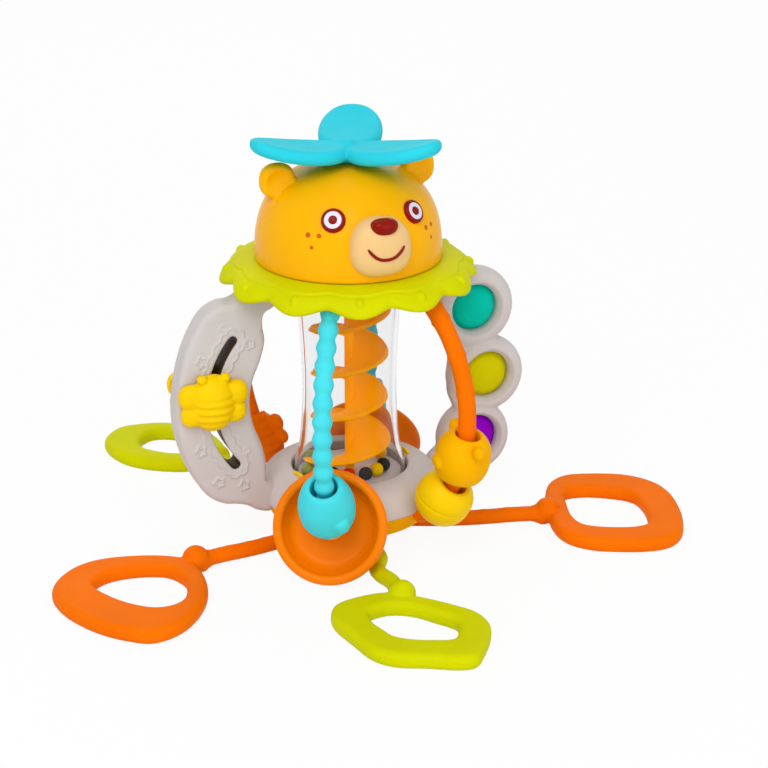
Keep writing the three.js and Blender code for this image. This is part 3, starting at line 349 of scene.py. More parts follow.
def fused(name, shape, voxel, smooth, cut=None):
    """Closed shapes as one skin: a voxel remesh, an optional cut and remesh, and smoothing."""
    body = linked(name + "_raw", raw_mesh(name + "_raw", shape))
    made = [body]

    def remesh():
        skin = body.modifiers.new("skin", "REMESH")
        skin.mode, skin.voxel_size = "VOXEL", voxel * MM

    remesh()
    if cut is not None:
        cutter = linked(name + "_cut", raw_mesh(name + "_cut", cut))
        made.append(cutter)
        hole = body.modifiers.new("cut", "BOOLEAN")
        hole.operation, hole.object, hole.solver = "DIFFERENCE", cutter, "EXACT"
        remesh()
    ease = body.modifiers.new("ease", "SMOOTH")
    ease.factor, ease.iterations = 0.5, smooth
    bpy.context.view_layer.update()
    done = body.evaluated_get(bpy.context.evaluated_depsgraph_get()).to_mesh()
    points = np.empty(len(done.vertices) * 3)
    done.vertices.foreach_get("co", points)
    corners = np.empty(len(done.loops), int)
    done.loops.foreach_get("vertex_index", corners)
    if len(corners) != 4 * len(done.polygons):
        raise RuntimeError(f"{name}: the remesh left faces that aren't quads")
    for old in made:
        bpy.data.objects.remove(old)
    return points.reshape(-1, 3) / MM, corners.reshape(-1, 4)


def put(name, shape, body, look, *nodes, crease=42.0):
    """Makes a finished piece, which rides on a CAD body (or none) and stands for CAD nodes."""
    mesh = raw_mesh(name, shape)
    mesh.shade_smooth()
    mesh.set_sharp_from_angle(angle=math.radians(crease))
    piece = linked(name, mesh)
    mesh.materials.append(finish(look))
    if body:
        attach(piece, body)
    if nodes:
        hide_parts(*nodes)
    return piece


# ---------------------------------------------------------------- finishes

KINDS = {
    "gloss_shell": dict(rough=0.3, grain=420.0, grain_depth=0.05, coat=0.02, flow=0.04,
                        mirror=0.08),
    "satin_shell": dict(rough=0.42, grain=1500.0, grain_depth=0.18, flow=0.035, wear=0.05,
                        mirror=0.08),
    "silicone": dict(rough=0.5, grain=1900.0, grain_depth=0.14, flow=0.05, soft=0.06,
                     mirror=0.035),
    "soft_print": dict(rough=0.3, grain=800.0, grain_depth=0.06, flow=0.03, coat=0.04,
                       mirror=0.1),
    "bead_gloss": dict(rough=0.16, grain=500.0, grain_depth=0.04, coat=0.03, flow=0.05,
                       mirror=0.1),
    "loose_ball": dict(rough=0.3, grain=500.0, grain_depth=0.04, flow=0.05, wear=0.0,
                       mirror=0.03),
    "underside": dict(rough=0.5, grain=420.0, grain_depth=0.05, flow=0.04, mirror=0.01),
    "glass": dict(rough=0.004, spread=0.004, grain=70.0, grain_depth=0.01, flow=0.006, wear=0.0,
                  clear=1.0, ior=1.17, veins=0.01, mirror=0.02),
    # The amber kind's glow is painted light: the slide gives off light of its own colour, in place
    # of the lamp light that the clear tube keeps off it.
    "amber": dict(rough=0.35, grain=300.0, grain_depth=0.05, flow=0.06, wear=0.02, soft=0.3,
                  mirror=0.01, painted_glow=0.14),
}
# Each finish: the CAD's slot, the kind, and a colour of the panel, a written one or linear light
LOOKS = {
    "tray_yellow": ("tray_yellow", "underside", "tray"),
    # A dark sheet inside the handle's slot is painted shade: the slot's walls are the handle's warm
    # gray, and the dark colour stands in for the shade in there.
    "warm_gray": ("warm_gray", "satin_shell", "gray"),
    "slot_lining": ("warm_gray", "satin_shell", "lining"),
    "lemon_plastic": ("lemon_plastic", "satin_shell", "lemon"),
    "golden_shell": ("golden_plastic", "gloss_shell", "head"),
    "golden_silicone": ("golden_plastic", "silicone", "head"),
    "dark_red": ("dark_red_gloss", "bead_gloss", "features"),
    "eye_white": ("white_gloss", "bead_gloss", (0.74, 0.76, 0.86)),
    "cream_muzzle": ("cream_plastic", "soft_print", "muzzle"),
    "freckle_print": ("dark_red_gloss", "soft_print", "freckles"),
    "lime_silicone": ("lime_silicone", "silicone", "collar"),
    "cyan_silicone": ("cyan_silicone", "silicone", "cyan"),
    "aqua_silicone": ("cyan_silicone", "silicone", "aqua"),
    "orange_silicone": ("orange_silicone", "silicone", "orange"),
    "bee_orange": ("orange_gloss", "silicone", "orange"),
    "dish_orange": ("orange_gloss", "gloss_shell", "dish"),
    "clear_tube": ("clear_tube", "glass", (0.93, 0.93, 0.94)),
    "amber_slide": ("amber_slide", "amber", "slide"),
    "ball_orange": ("orange_gloss", "loose_ball", "orange"),
    "ball_olive": ("olive_gloss", "loose_ball", "#96a04c"),
    "ball_black": ("black_gloss", "loose_ball", "#170c0e"),
    "ball_red": ("red_gloss", "loose_ball", "#e3350a"),
    "ball_lemon": ("lemon_plastic", "loose_ball", "lemon"),
    "ball_golden": ("golden_plastic", "loose_ball", "head"),
    "popper_top": ("teal_silicone", "silicone", "teal"),
    "popper_middle": ("yellow_green_silicone", "silicone", "yellow_green"),
    "popper_bottom": ("purple_silicone", "silicone", "purple"),
}
FLOW_SCALE, SPECK_SCALE, GLOSS_SCALE, VEIN_SCALE = 34.0, 620.0, 150.0, 60.0
GRAIN_HEIGHT, VEIN_HEIGHT = 0.0002, 0.0003


def paint(text):
    """A written sRGB colour as linear light: ((c + 0.055) / 1.055) ^ 2.4, but c / 12.92 if dark."""
    c = np.array([int(text[i:i + 2], 16) for i in (1, 3, 5)]) / 255
    return tuple(np.where(c <= 0.04045, c / 12.92, ((c + 0.055) / 1.055) ** 2.4))


def fill(node, **inputs):
    """Sets inputs of a shader node; an underscore in a name stands for a blank."""
    for key, value in inputs.items():
        node.inputs[key.replace("_", " ")].default_value = value
    return node


def add(tree, kind, **inputs):
    """A new shader node with values for its inputs."""
    return fill(tree.nodes.new("ShaderNode" + kind), **inputs)


def ramp(tree, source, low, high, first, last):
    """A colour ramp from one colour to another, between two values of its source."""
    node = add(tree, "ValToRGB")
    tree.links.new(source, node.inputs["Fac"])
    for stop, at, colour in zip(node.color_ramp.elements, (low, high), (first, last)):
        stop.position, stop.color = at, (*np.clip(colour, 0, 1), 1)
    return node.outputs["Color"]


def moulded(name, colour, rough, grain, grain_depth, flow, mirror, wear=0.04, coat=0.0, soft=0.0,
            clear=0.0, ior=1.49, veins=0.0, spread=0.06, painted_glow=0.0):
    """Moulded plastic or silicone: slow flow of tone, pale specks, fine grain, uneven gloss."""
    made = bpy.data.materials.new(name)
    made.use_nodes = True
    tree = made.node_tree
    link, shader = tree.links.new, tree.nodes["Principled BSDF"]
    place = add(tree, "TexCoord").outputs["Object"]

    def noise(scale, detail, source=place):
        texture = add(tree, "TexNoise", Scale=scale, Detail=detail)
        link(source, texture.inputs["Vector"])
        return texture.outputs["Fac"]

    def bump(height, strength, distance):
        node = add(tree, "Bump", Strength=strength, Distance=distance)
        link(height, node.inputs["Height"])
        return node

    base = np.array(colour)
    tone = ramp(tree, noise(FLOW_SCALE, 3.0), 0.3, 0.72, base * (1 - flow), base * (1 + flow))
    specks = ramp(tree, noise(SPECK_SCALE, 5.0), 0.62, 0.78, np.zeros(3), np.full(3, wear * 2))
    mixed = add(tree, "Mix")
    mixed.data_type = "RGBA"
    link(specks, mixed.inputs["Factor"])
    link(tone, mixed.inputs["A"])
    fill(mixed, B=(*np.clip(base * 0.86 + 0.06, 0, 1), 1))
    link(mixed.outputs["Result"], shader.inputs["Base Color"])
    gloss = add(tree, "MapRange", From_Min=0.3, From_Max=0.7, To_Min=max(rough - spread, 0.0),
                To_Max=rough + spread)
    link(noise(GLOSS_SCALE, 4.0), gloss.inputs["Value"])
    link(gloss.outputs["Result"], shader.inputs["Roughness"])
    last = bump(noise(grain, 6.0), grain_depth, GRAIN_HEIGHT)
    if veins:
        drawn_out = add(tree, "Mapping", Scale=(1, 1, 0.12))
        link(place, drawn_out.inputs["Vector"])
        fine = last
        last = bump(noise(VEIN_SCALE, 3.0, drawn_out.outputs["Vector"]), veins, VEIN_HEIGHT)
        link(fine.outputs["Normal"], last.inputs["Normal"])
    link(last.outputs["Normal"], shader.inputs["Normal"])
    # Emission of the base colour at the glow's strength is painted light: it brightens a piece (the
    # amber slide) as if lit, though it is no lamp.
    fill(shader, Coat_Weight=coat, Coat_Roughness=0.12, Subsurface_Weight=soft,
         Subsurface_Radius=(0.004, 0.002, 0.001), Transmission_Weight=clear, IOR=ior,
         Specular_IOR_Level=mirror, Emission_Color=(*base, 1), Emission_Strength=painted_glow)
    return made


def finish(look):
    """The material of one of the LOOKS, made once."""
    name = "finish_" + look
    _, kind, colour = LOOKS[look]
    if isinstance(colour, str):
        colour = paint(colour) if colour[0] == "#" else getattr(bpy.context.scene.bear_colours,
                                                                colour)
    return bpy.data.materials.get(name) or moulded(name, tuple(colour), **KINDS[kind])


# ---------------------------------------------------------------- settings


def colour_setting(label, about, text):
    """One colour of the panel."""
    return FloatVectorProperty(name=label, description=about, subtype="COLOR", size=3,
                               min=0.0, max=1.0, default=paint(text))


class BearColours(PropertyGroup):
    """Colours of the toy's plastics and silicones."""

    head: colour_setting("Head", "Golden shell of the head and the bear bead", "#fcb400")
    muzzle: colour_setting("Muzzle", "Cream muzzle", "#eec584")
    features: colour_setting("Features", "Dark red of the nose, smile and eyes", "#8c0d00")
    # Painted shade: a dark colour for the inside of the slot, where shade falls on the warm gray
    # handle.
    lining: colour_setting("Slot lining", "Dark inside of the handle's slot", "#4c3a1e")
    freckles: colour_setting("Freckles", "Rust brown of the printed freckles", "#cc5a0c")
    collar: colour_setting("Collar", "Lime of the collar and two pull rings", "#d3d600")
    cyan: colour_setting("Cyan", "Propeller", "#2fd0e2")
    aqua: colour_setting("Aqua", "Beaded arcs and round beads", "#4cdce8")
    orange: colour_setting("Orange", "Orange arcs, bee bead and two pull rings", "#fb7500")
    dish: colour_setting("Dish", "Orange of the dishes", "#ff8200")
    gray: colour_setting("Warm gray", "Base ring, handle and popper panel", "#cfc8c6")
    tray: colour_setting("Tray", "Yellow of the tray and foot", "#fdb000")
    lemon: colour_setting("Lemon", "Bee, ball bead and snap tabs", "#facf00")
    slide: colour_setting("Slide", "Amber of the helical slide", "#ffa800")
    teal: colour_setting("Teal", "Top popper", "#00c6ae")
    yellow_green: colour_setting("Yellow green", "Middle popper", "#d0c800")
    purple: colour_setting("Purple", "Bottom popper", "#9400c8")


class BearDetail(PropertyGroup):
    """Sizes of the modelled detail."""

    skin: FloatProperty(name="Skin cell", description="Cell of the fused skins, in millimetres",
                        default=0.6, min=0.4, max=1.5)
    swellings: IntProperty(name="Swellings", description="Swellings along a cyan arc", default=16)
    relief: FloatProperty(name="Relief", description="Height of the handle's lace, in millimetres",
                          default=0.75, min=0.0, max=1.5)
    stud: FloatProperty(name="Stud", description="Radius of the collar's studs, in millimetres",
                        default=1.7, min=0.5, max=3.0)
    light: FloatProperty(name="Light", description="Share of the studio's full light", default=1.0,
                         min=0.1, max=2.0, subtype="FACTOR")


# ---------------------------------------------------------------- studio

# Name, place, side and watts of each lamp
LAMPS = [("key", (-0.75, -0.95, 1.35), 1.1, 14.5), ("fill", (0.45, -1.5, 0.45), 1.2, 5.4),
         ("rim", (0.3, 1.2, 1.1), 1.2, 5.0)]
LAMP_AIM = (0, 0, 0.09)
WORLD_LIGHT, FLOOR_TONE, FLOOR_SHARE, FLOOR_REACH = 0.5, 0.93, 0.93, 9


def seen_directly(tree):
    """One where the camera, a reflection or a clear piece looks at the surface."""
    path = add(tree, "LightPath")
    last = path.outputs["Is Camera Ray"]
    for way in ("Is Glossy Ray", "Is Transmission Ray"):
        either = add(tree, "Math")
        either.operation = "MAXIMUM"
        tree.links.new(last, either.inputs[0])
        tree.links.new(path.outputs[way], either.inputs[1])
        last = either.outputs[0]
    return last


def two_ways(tree, share, lit, seen, output):
    """The output shows one shader as light, and by a share another where it is seen."""
    blend = add(tree, "MixShader")
    for source, socket in zip((share, lit.outputs[0], seen.outputs[0]), blend.inputs):
        tree.links.new(source, socket)
    tree.links.new(blend.outputs[0], add(tree, output).inputs["Surface"])


def bare_tree(owner):
    """The empty node tree of a material or world."""
    owner.use_nodes = True
    owner.node_tree.nodes.clear()
    return owner.node_tree


class BearStage(Operator):
    """Sets the camera, the pale floor, the lamps and the white surroundings."""

    bl_idname = "bear.stage"
    bl_label = "Studio and camera"

    def execute(self, context):
        scene = context.scene
        lens = bpy.data.cameras.new("camera")
        lens.lens, lens.sensor_width, lens.clip_end = 100.31, 36.0, 50.0
        scene.camera = linked("camera", lens)
        scene.camera.location = (-0.3325, -0.9135, 0.4590)
        scene.camera.rotation_euler = (math.radians(68.6), 0, math.radians(-21))
        scene.view_settings.view_transform = "Standard"
        floor = bpy.data.meshes.new("floor")
        corners = np.array([[-1, -1, 0], [1, -1, 0], [1, 1, 0], [-1, 1, 0]]) * FLOOR_REACH
        floor.from_pydata(corners.tolist(), [], [(0, 1, 2, 3)])
        floor.materials.append(self.floor_finish())
        linked("floor", floor)
        share = scene.bear_detail.light
        for name, place, size, power in LAMPS:
            self.lamp(name, place, size, power * share)
        self.surroundings(scene, WORLD_LIGHT * share)
        return {"FINISHED"}

    def lamp(self, name, place, size, power):
        """A square soft box that looks at the middle of the toy."""
        data = bpy.data.lights.new(name, "AREA")
        data.shape, data.size, data.energy = "SQUARE", size, power
        lamp = linked(name, data)
        lamp.location = place
        x, y, z = np.array(LAMP_AIM) - np.array(place)
        lamp.rotation_euler = (math.atan2(math.hypot(x, y), -z), 0, math.atan2(y, x) - math.pi / 2)

    def floor_finish(self):
        """White floor: mostly its own white where it is seen, with the shadows in the rest."""
        made = bpy.data.materials.new("white_floor")
        tree = bare_tree(made)
        lit = add(tree, "BsdfDiffuse", Color=(FLOOR_TONE, FLOOR_TONE, FLOOR_TONE, 1))
        share = add(tree, "Math")
        share.operation = "MULTIPLY"
        share.inputs[1].default_value = FLOOR_SHARE
        tree.links.new(seen_directly(tree), share.inputs[0])
        two_ways(tree, share.outputs[0], lit, add(tree, "Emission", Strength=1.0),
                 "OutputMaterial")
        return made

    def surroundings(self, scene, strength):
        """A white world: strength 1 where it is seen, and the studio's own level as light."""
        scene.world = bpy.data.worlds.new("studio")
        tree = bare_tree(scene.world)
        light, seen = (add(tree, "Background", Color=(1, 1, 1, 1), Strength=s)
                       for s in (strength, 1.0))
        two_ways(tree, seen_directly(tree), light, seen, "OutputWorld")


# ---------------------------------------------------------------- rings and cords

CORD_START, CORD_RADIUS, CORD_LIFT, RING_LENGTH = 19.8, 3.8, 1.1, 70.0
RING_HALF, RING_FILLET, KNOB, RING_START = 4.0, 3.3, 6.5, 9.3
# Each ring: angle, cord length, sway, finish, and its outlines in shares of a ring's length
RINGS = {
    "left": (
        -168.5, 57.9, 0.0, "orange_silicone",
        shares(104, -7, 94, -21, 76, -32, 58, -34, 36, -27, 15, -14, 4, 0, 5, 18, 11, 38, 20, 54,
               34, 69, 49, 79, 64, 83, 76, 81, 87, 70, 97, 54, 104, 34, 107, 13),
        shares(76, -1, 64, -10, 47, -10, 26, 1, 21, 14, 22, 28, 34, 48, 44, 53, 55, 51, 65, 40,
               73, 22)),
    "front": (
        -94.1, 58.1, 3.0, "lime_silicone",
        shares(14, -53, 4, -48, -2, -36, -4, -10, 7, 8, 26, 28, 40, 39, 55, 42, 67, 39, 87, 28,
               98, 19, 98, 8, 90, -11, 82, -31, 70, -42, 46, -49, 24, -54),
        shares(20, -28, 15, -14, 20, -1, 33, 11, 47, 21, 57, 20, 70, 12, 68, 0, 63, -13, 56, -22,
               46, -26, 32, -30)),
    "right": (
        -16.0, 70.6, 0.0, "orange_silicone",
        shares(0, -20, 0, 6, 3, 30, 9, 48, 21, 59, 40, 61, 68, 56, 86, 42, 94, 24, 96, -5, 93, -30,
               88, -45, 78, -55, 62, -59, 43, -58, 24, -54, 10, -45, 3, -34),
        shares(19, 31, 32, 35, 51, 31, 65, 23, 70, 6, 70, -15, 67, -28, 59, -33, 41, -33, 23, -27,
               17, -14, 16, 10)),
    "back": (
        112.0, 75.9, 0.0, "lime_silicone",
        shares(84, 45, 93, 34, 97, 20, 92, 6, 84, -7, 74, -16, 53, -25, 25, -22, 6, -12, -1, 5,
               6, 24, 16, 35, 32, 46, 50, 52, 69, 51),
        shares(60, 28, 69, 19, 72, 5, 63, -5, 45, -9, 28, -2, 20, 12, 28, 22, 39, 28, 50, 31)),
}
CORD_ROUTE = [[0, 0, 1], [0.12, 0, 0.85], [0.28, 0.75, 0.35], [0.42, 0.75, 0.06],
              [0.58, -0.75, 0.06], [0.72, -0.75, 0.35], [0.88, 0, 0.85], [1, 0, 1]]


class BearCords(Operator):
    """Makes the four cords: round silicone rods from the foot to each ring, with small studs."""

    bl_idname = "bear.cords"
    bl_label = "Cords"

    def execute(self, context):
        for name, (angle, length, sway, look, _, _) in RINGS.items():
            route = np.array(CORD_ROUTE) * [length, sway, CORD_LIFT] + [CORD_START, 0, CORD_RADIUS]
            route = curve_through(route, 30)

            def studs(share, a, length=length):
                return 0.35 * sum(wart(share, a, length * (at + ahead), way, length, 1.8, 0.42)
                                  for at in np.linspace(0.16, 0.84, 5)
                                  for way, ahead in ((0.25, 0), (0.5, 0.05)))

            rod = swept(curve_through(route, 160), CORD_RADIUS, (0, 0, 1), 32, studs)
            piece = put(f"pull_cord_{name}", on_spoke(rod, angle), None, look, f"cord_{name}")
            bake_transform(piece)
        return {"FINISHED"}


class BearRings(Operator):
    """Makes the four pull rings: rounded loops, each with a knob that flares into its cord."""

    bl_idname = "bear.rings"
    bl_label = "Pull rings"

    def execute(self, context):
        flare = [[0, -12], [2.6, -12], [3.7, -9.6], [3.95, -8], [4.7, -5.5], [6.0, -3.2],
                 [5.5, 0], [0, 0]]
        neck = moved(turned(flare, 0.8), (0, 0, CORD_RADIUS + CORD_LIFT), "Y", 90)
        for name, (angle, length, _, look, outer, inner) in RINGS.items():
            outer, inner = (curve_through(line * RING_LENGTH, 300, True) for line in (outer, inner))
            outer, inner = (around(line, inner.mean(0), 280) for line in (outer, inner))
            loop = band(outer, inner, RING_HALF, RING_FILLET, RING_FILLET)
            shape = together(moved(loop, (0, 0, RING_HALF)), blob((KNOB,) * 3, (0, 0, KNOB)), neck)
            points, faces = fused(name, shape, context.scene.bear_detail.skin, 6)
            points[:, 2] = np.maximum(points[:, 2], 0.0)
            ring = moved((points, faces), (CORD_START + length + RING_START, 0, 0))
            put(f"pull_ring_{name}", on_spoke(ring, angle), f"ring_{name}", look, f"ring_{name}")
        return {"FINISHED"}


# ---------------------------------------------------------------- body


class BearBase(Operator):
    """Makes the foot, the yellow tray, the gray base ring, its snap tabs and the head floor."""

    bl_idname = "bear.base"
    bl_label = "Base"

    def execute(self, context):
        foot = [[0, 0], [16.5, 0], [16.5, 0.6], [18.6, 0.6], [19.5, 1.6], [19.5, 10.9], [0, 10.9]]
        put("foot", turned(foot, 0.5), "base", "tray_yellow", "foot_hub")
        tray = [[0, 11.3], [15, 11.3], [15.6, 12], [17.4, 12], [18, 11.3], [34.5, 11.3],
                [38.6, 12.6], [43.6, 21.2], [43.6, 22.6], [41.7, 22.6], [36.2, 13.9], [0, 13.9]]
        put("tray", turned(tray, 1.4), "base", "tray_yellow", "base_tray")
        share = np.sin(np.linspace(0, np.pi / 2, 26))
        crown = np.column_stack([29.5 + 15.3 * (1 - share**2.6) ** (1 / 2.6), 22.8 + 14.2 * share])
        ring = [[0, 28.6], [38.5, 28.6], [42.4, 22.8], [44.3, 22.75], *crown[1:].tolist(),
                [28.7, 36.4], [28.6, 31.2], [26.1, 31.2], [25.7, 33.0], [0, 33.2]]
        put("base_crown", turned(ring, 0.35, segments=144), "base", "warm_gray", "base_ring")
        a = np.linspace(-9, 9, 19)
        path = np.column_stack([30.4 * compass(np.radians(a)),
                                37.35 + 0.45 * np.cos(np.radians(a * 10))])
        wide = 0.25 + 0.75 * np.sqrt(np.clip(1 - (a / 9.3) ** 2, 0, 1))
        for name, angle in (("left", -166), ("right", 4)):
            put(f"tab_{name}", on_spoke(swept(path, wide, (0, 0, 1), 20), angle), "base",
                "lemon_plastic", f"snap_tab_{name}")
        disc = [[0, 132.2], [25.7, 132.2], [25.7, 131.0], [43.3, 131.0], [44.2, 131.9],
                [44.2, 140.8], [0, 140.8]]
        put("head_plate", turned(disc, 0.6), "base", "golden_shell", "head_floor")
        return {"FINISHED"}


class BearTumbler(Operator):
    """Makes the clear hourglass tube, the amber slide in it and the ten loose balls."""

    bl_idname = "bear.tumbler"
    bl_label = "Tube, slide and balls"

    wall, widest, ball_radius, ball_gap, ball_height = 2.0, 28.3, 3.4, 0.3, 5.45
    # Share of the tube's height and its outer radius there
    tube_knots = [[0, 28.3], [0.028, 28.3], [0.055, 28.1], [0.085, 26.8], [0.14, 25.2],
                  [0.24, 23.9], [0.46, 23], [0.66, 23.5], [0.84, 24.5], [1, 25.4]]
    # Angle, share of the way to the wall, and colour of each ball
    balls = [[-157, 0.96, "orange"], [-175, 0.98, "olive"], [-140, 0.72, "black"],
             [-112, 0.7, "red"], [-82, 0.72, "black"], [-55, 0.7, "lemon"], [-30, 0.74, "black"],
             [112, 0.9, "orange"], [138, 0.94, "olive"], [20, 0.9, "golden"]]
    blade_half, blade_turns, blade_start, rim_gap = 1.05, 3.5, 159, 4.2

    def execute(self, context):
        height, radius = np.array(self.tube_knots).T
        outer = curve_through(
            np.column_stack([radius, TUBE_BOTTOM + (TUBE_TOP - TUBE_BOTTOM) * height]), 90)
        inner = (outer - [self.wall, 0])[::-1]
        put("tube", lathe(np.vstack([outer, inner]), 128), "base", "clear_tube", "tumble_tube",
            crease=30)
        post = turned([[0, 31.3], [2.6, 31.3], [2.3, 34], [2.3, 128], [2.6, 131.6], [0, 131.6]],
                      0.5)
        put("slide", together(self.blade(outer), post), "base", "amber_slide", "helix_slide")
        reach = self.widest - self.wall - self.ball_radius - self.ball_gap
        for i, (angle, share, colour) in enumerate(self.balls, 1):
            points, faces = egg((self.ball_radius,) * 3, 2, 33, 40)
            points = points * (1 + 0.012 * np.exp(-((points[:, 2:] / 0.22) ** 2)))
            place = (*(reach * share * compass(math.radians(angle))),
                     RECESS_FLOOR + self.ball_height)
            ball = moved((points, faces), place, "X", 37 * i)
            put(f"ball_{i:02d}", ball, "base", f"ball_{colour}", f"tumble_ball_{i:02d}")
        return {"FINISHED"}

    def blade(self, outer):
        """A blade between post and wall: angle grows with height, its rim has a raised lip."""
        start = RECESS_FLOOR + 5.4 + 2.4
        rise = TUBE_TOP - 14.1 - start
        along = np.linspace(0, 1, 340)[:, None]
        height = start + rise * along
        reach = np.interp(height, outer[:, 1], outer[:, 0]) - self.rim_gap
        taper = np.clip(np.minimum(along, 1 - along) * 60, 0.15, 1) ** 0.5
        across = np.linspace(0, 1, 18)
        half = self.blade_half * np.sqrt(np.clip(1 - np.abs(2 * across - 1) ** 14, 0, 1))
        lip = 0.7 * np.exp(-(((across - 0.95) / 0.05) ** 2)) - 0.5 * np.sin(np.pi * across)
        section = np.vstack([np.column_stack([across, half + lip]),
                             np.column_stack([across, -half + lip])[::-1][1:-1]])
        radius = 1.4 + (reach - 1.4) * section[None, :, 0]
        angle = math.radians(self.blade_start) + along * self.blade_turns * 2 * np.pi
        up = height + section[None, :, 1] * taper
        return capped(np.stack([radius * np.cos(angle), radius * np.sin(angle), up], -1))


# ---------------------------------------------------------------- head


def dome_point(from_face, rise):
    """A point of the dome, and its outward direction as level and upward shares."""
    a = math.radians(from_face)
    r = HEAD_RADIUS * (1 - (rise / HEAD_HEIGHT) ** DOME_POWER) ** (1 / DOME_POWER)
    n = unit(np.array([(r / HEAD_RADIUS) ** 1.6 / HEAD_RADIUS,
                       (rise / HEAD_HEIGHT) ** 1.6 / HEAD_HEIGHT]))
    return np.array([math.sin(a) * r, -math.cos(a) * r, HEAD_BOTTOM + rise]), n


def on_dome(shape, from_face, rise, proud=0.0):
    """A piece whose own axis is Z, put square to the dome."""
    place, n = dome_point(from_face, rise)
    shape = moved(shape, (0, 0, proud))
    shape = moved(shape, axis="Y", degrees=math.degrees(math.atan2(n[0], n[1])))
    return moved(shape, place, "Z", from_face - 90)


class BearHead(Operator):
    """Makes the head with its two dished ears, the muzzle, nose, smile, eyes and freckles."""

    bl_idname = "bear.head"
    bl_label = "Head"

    muzzle_half, muzzle_power, muzzle_place = np.array([14.4, 9.4, 14.0]), 2.5, (0, -42, 161.2)
    eye_turn, eye_rise, eye_white = 30, 28.6, 4.05
    # Angle from the face, rise and radius of each freckle
    freckles = [(-45.9, 21.7, 1.25), (-38.5, 21.8, 1.15), (-42.7, 16.4, 0.9),
                (37.7, 20.3, 1.25), (44.8, 20.5, 1.15), (41.4, 15.1, 0.9)]

    def ear(self, side):
        """A thick disc whose front is hollowed: depth falls off from its middle."""
        points, faces = egg((8.6, 5.3, 8.6), 2.3, 64, 80)
        far = (points[:, 0] ** 2 + points[:, 2] ** 2) / 5.6**2
        points[:, 1] += np.where(points[:, 1] < 0, 3.8 * np.exp(-(far**1.6)), 0)
        return moved((points, faces), (side * 35, 0, HEAD_BOTTOM + 40), "Z", side * 6)

    def smile(self):
        """A round line that lies on the front of the muzzle."""
        share = np.linspace(-1, 1, 60)
        wide, deep, high = self.muzzle_half
        across, rise = 8.9 * share, 1.5 - 5.7 * (1 - np.abs(share) ** 2.4)
        lean = 1 - 0.075 * rise / high
        power = self.muzzle_power
        out = np.abs(across / lean / wide) ** power + np.abs(rise / high) ** power
        front = self.muzzle_place[1] - deep * np.clip(1 - out, 0, 1) ** (1 / power)
        path = np.column_stack([across, front - 0.15, 161.4 + rise])
        width = 0.75 * np.sqrt(np.clip(1 - np.abs(share) ** 14, 0.02, 1))
        return swept(path, width, (0, 1, 0), 20)

    def eye(self, name, side):
        """A dark dished ring with a white floor, and a dark button in its middle."""
        rim = [[0, -1.2], [5.7, -1.2], [5.7, 0.7], [5.1, 1.5], [4.15, 1.75], [4.0, 1.35],
               [0, 1.7]]
        turn = side * self.eye_turn
        eye = put(f"eye_ring_{name}", on_dome(turned(rim, 0.45, 0.3), turn, self.eye_rise), "base",
                  "eye_white", f"eye_{name}")
        eye.data.materials.append(finish("dark_red"))
        place, n = dome_point(turn, self.eye_rise)
        a = math.radians(turn)
        out = np.array([math.sin(a) * n[0], -math.cos(a) * n[0], n[1]])
        middle = np.empty(len(eye.data.polygons) * 3)
        eye.data.polygons.foreach_get("center", middle)
        rel = middle.reshape(-1, 3) / MM - place
        flat = np.linalg.norm(rel - (rel @ out)[:, None] * out, axis=1)
        eye.data.polygons.foreach_set("material_index", (flat >= self.eye_white).astype(np.int32))
        iris = [[0, 1.2], [2.05, 1.2], [2.05, 1.85], [1.5, 2.3], [0, 2.5]]
        put(f"eye_middle_{name}", on_dome(turned(iris, 0.4, 0.3, 64), turn, self.eye_rise), "base",
            "dark_red", f"pupil_{name}")

    def execute(self, context):
        dome = compass(np.linspace(0, np.pi / 2, 40)) ** (2 / DOME_POWER)
        dome = dome * [HEAD_RADIUS, HEAD_HEIGHT] + [0, HEAD_BOTTOM]
        dome[-1, 0] = 0
        skull = lathe(np.vstack([[[0, HEAD_BOTTOM]], dome]), 128)
        head = together(skull, self.ear(-1), self.ear(1))
        put("head", fused("head", head, context.scene.bear_detail.skin, 7), "base",
            "golden_shell", "head_shell")
        points, faces = egg(self.muzzle_half, self.muzzle_power, 72, 96)
        points[:, 0] *= 1 - 0.075 * points[:, 2] / self.muzzle_half[2]
        put("snout", moved((points, faces), self.muzzle_place), "base", "cream_muzzle", "muzzle")
        points, faces = egg((6.4, 4.6, 3.9), 2.35, 56, 72)
        points[:, 0] *= 1 + 0.1 * points[:, 2] / 3.9
        put("nose_button", moved((points, faces), (0, -47.6, 171.9)), "base", "dark_red", "nose")
        put("smile_line", self.smile(), "base", "dark_red", "smile")
        for name, side in (("left", -1), ("right", 1)):
            self.eye(name, side)
        dots = [on_dome(egg((k, k, 0.2), 2, 12, 24), a, z, 0.02) for a, z, k in self.freckles]
        put("freckles", together(*dots), "base", "freckle_print")
        return {"FINISHED"}


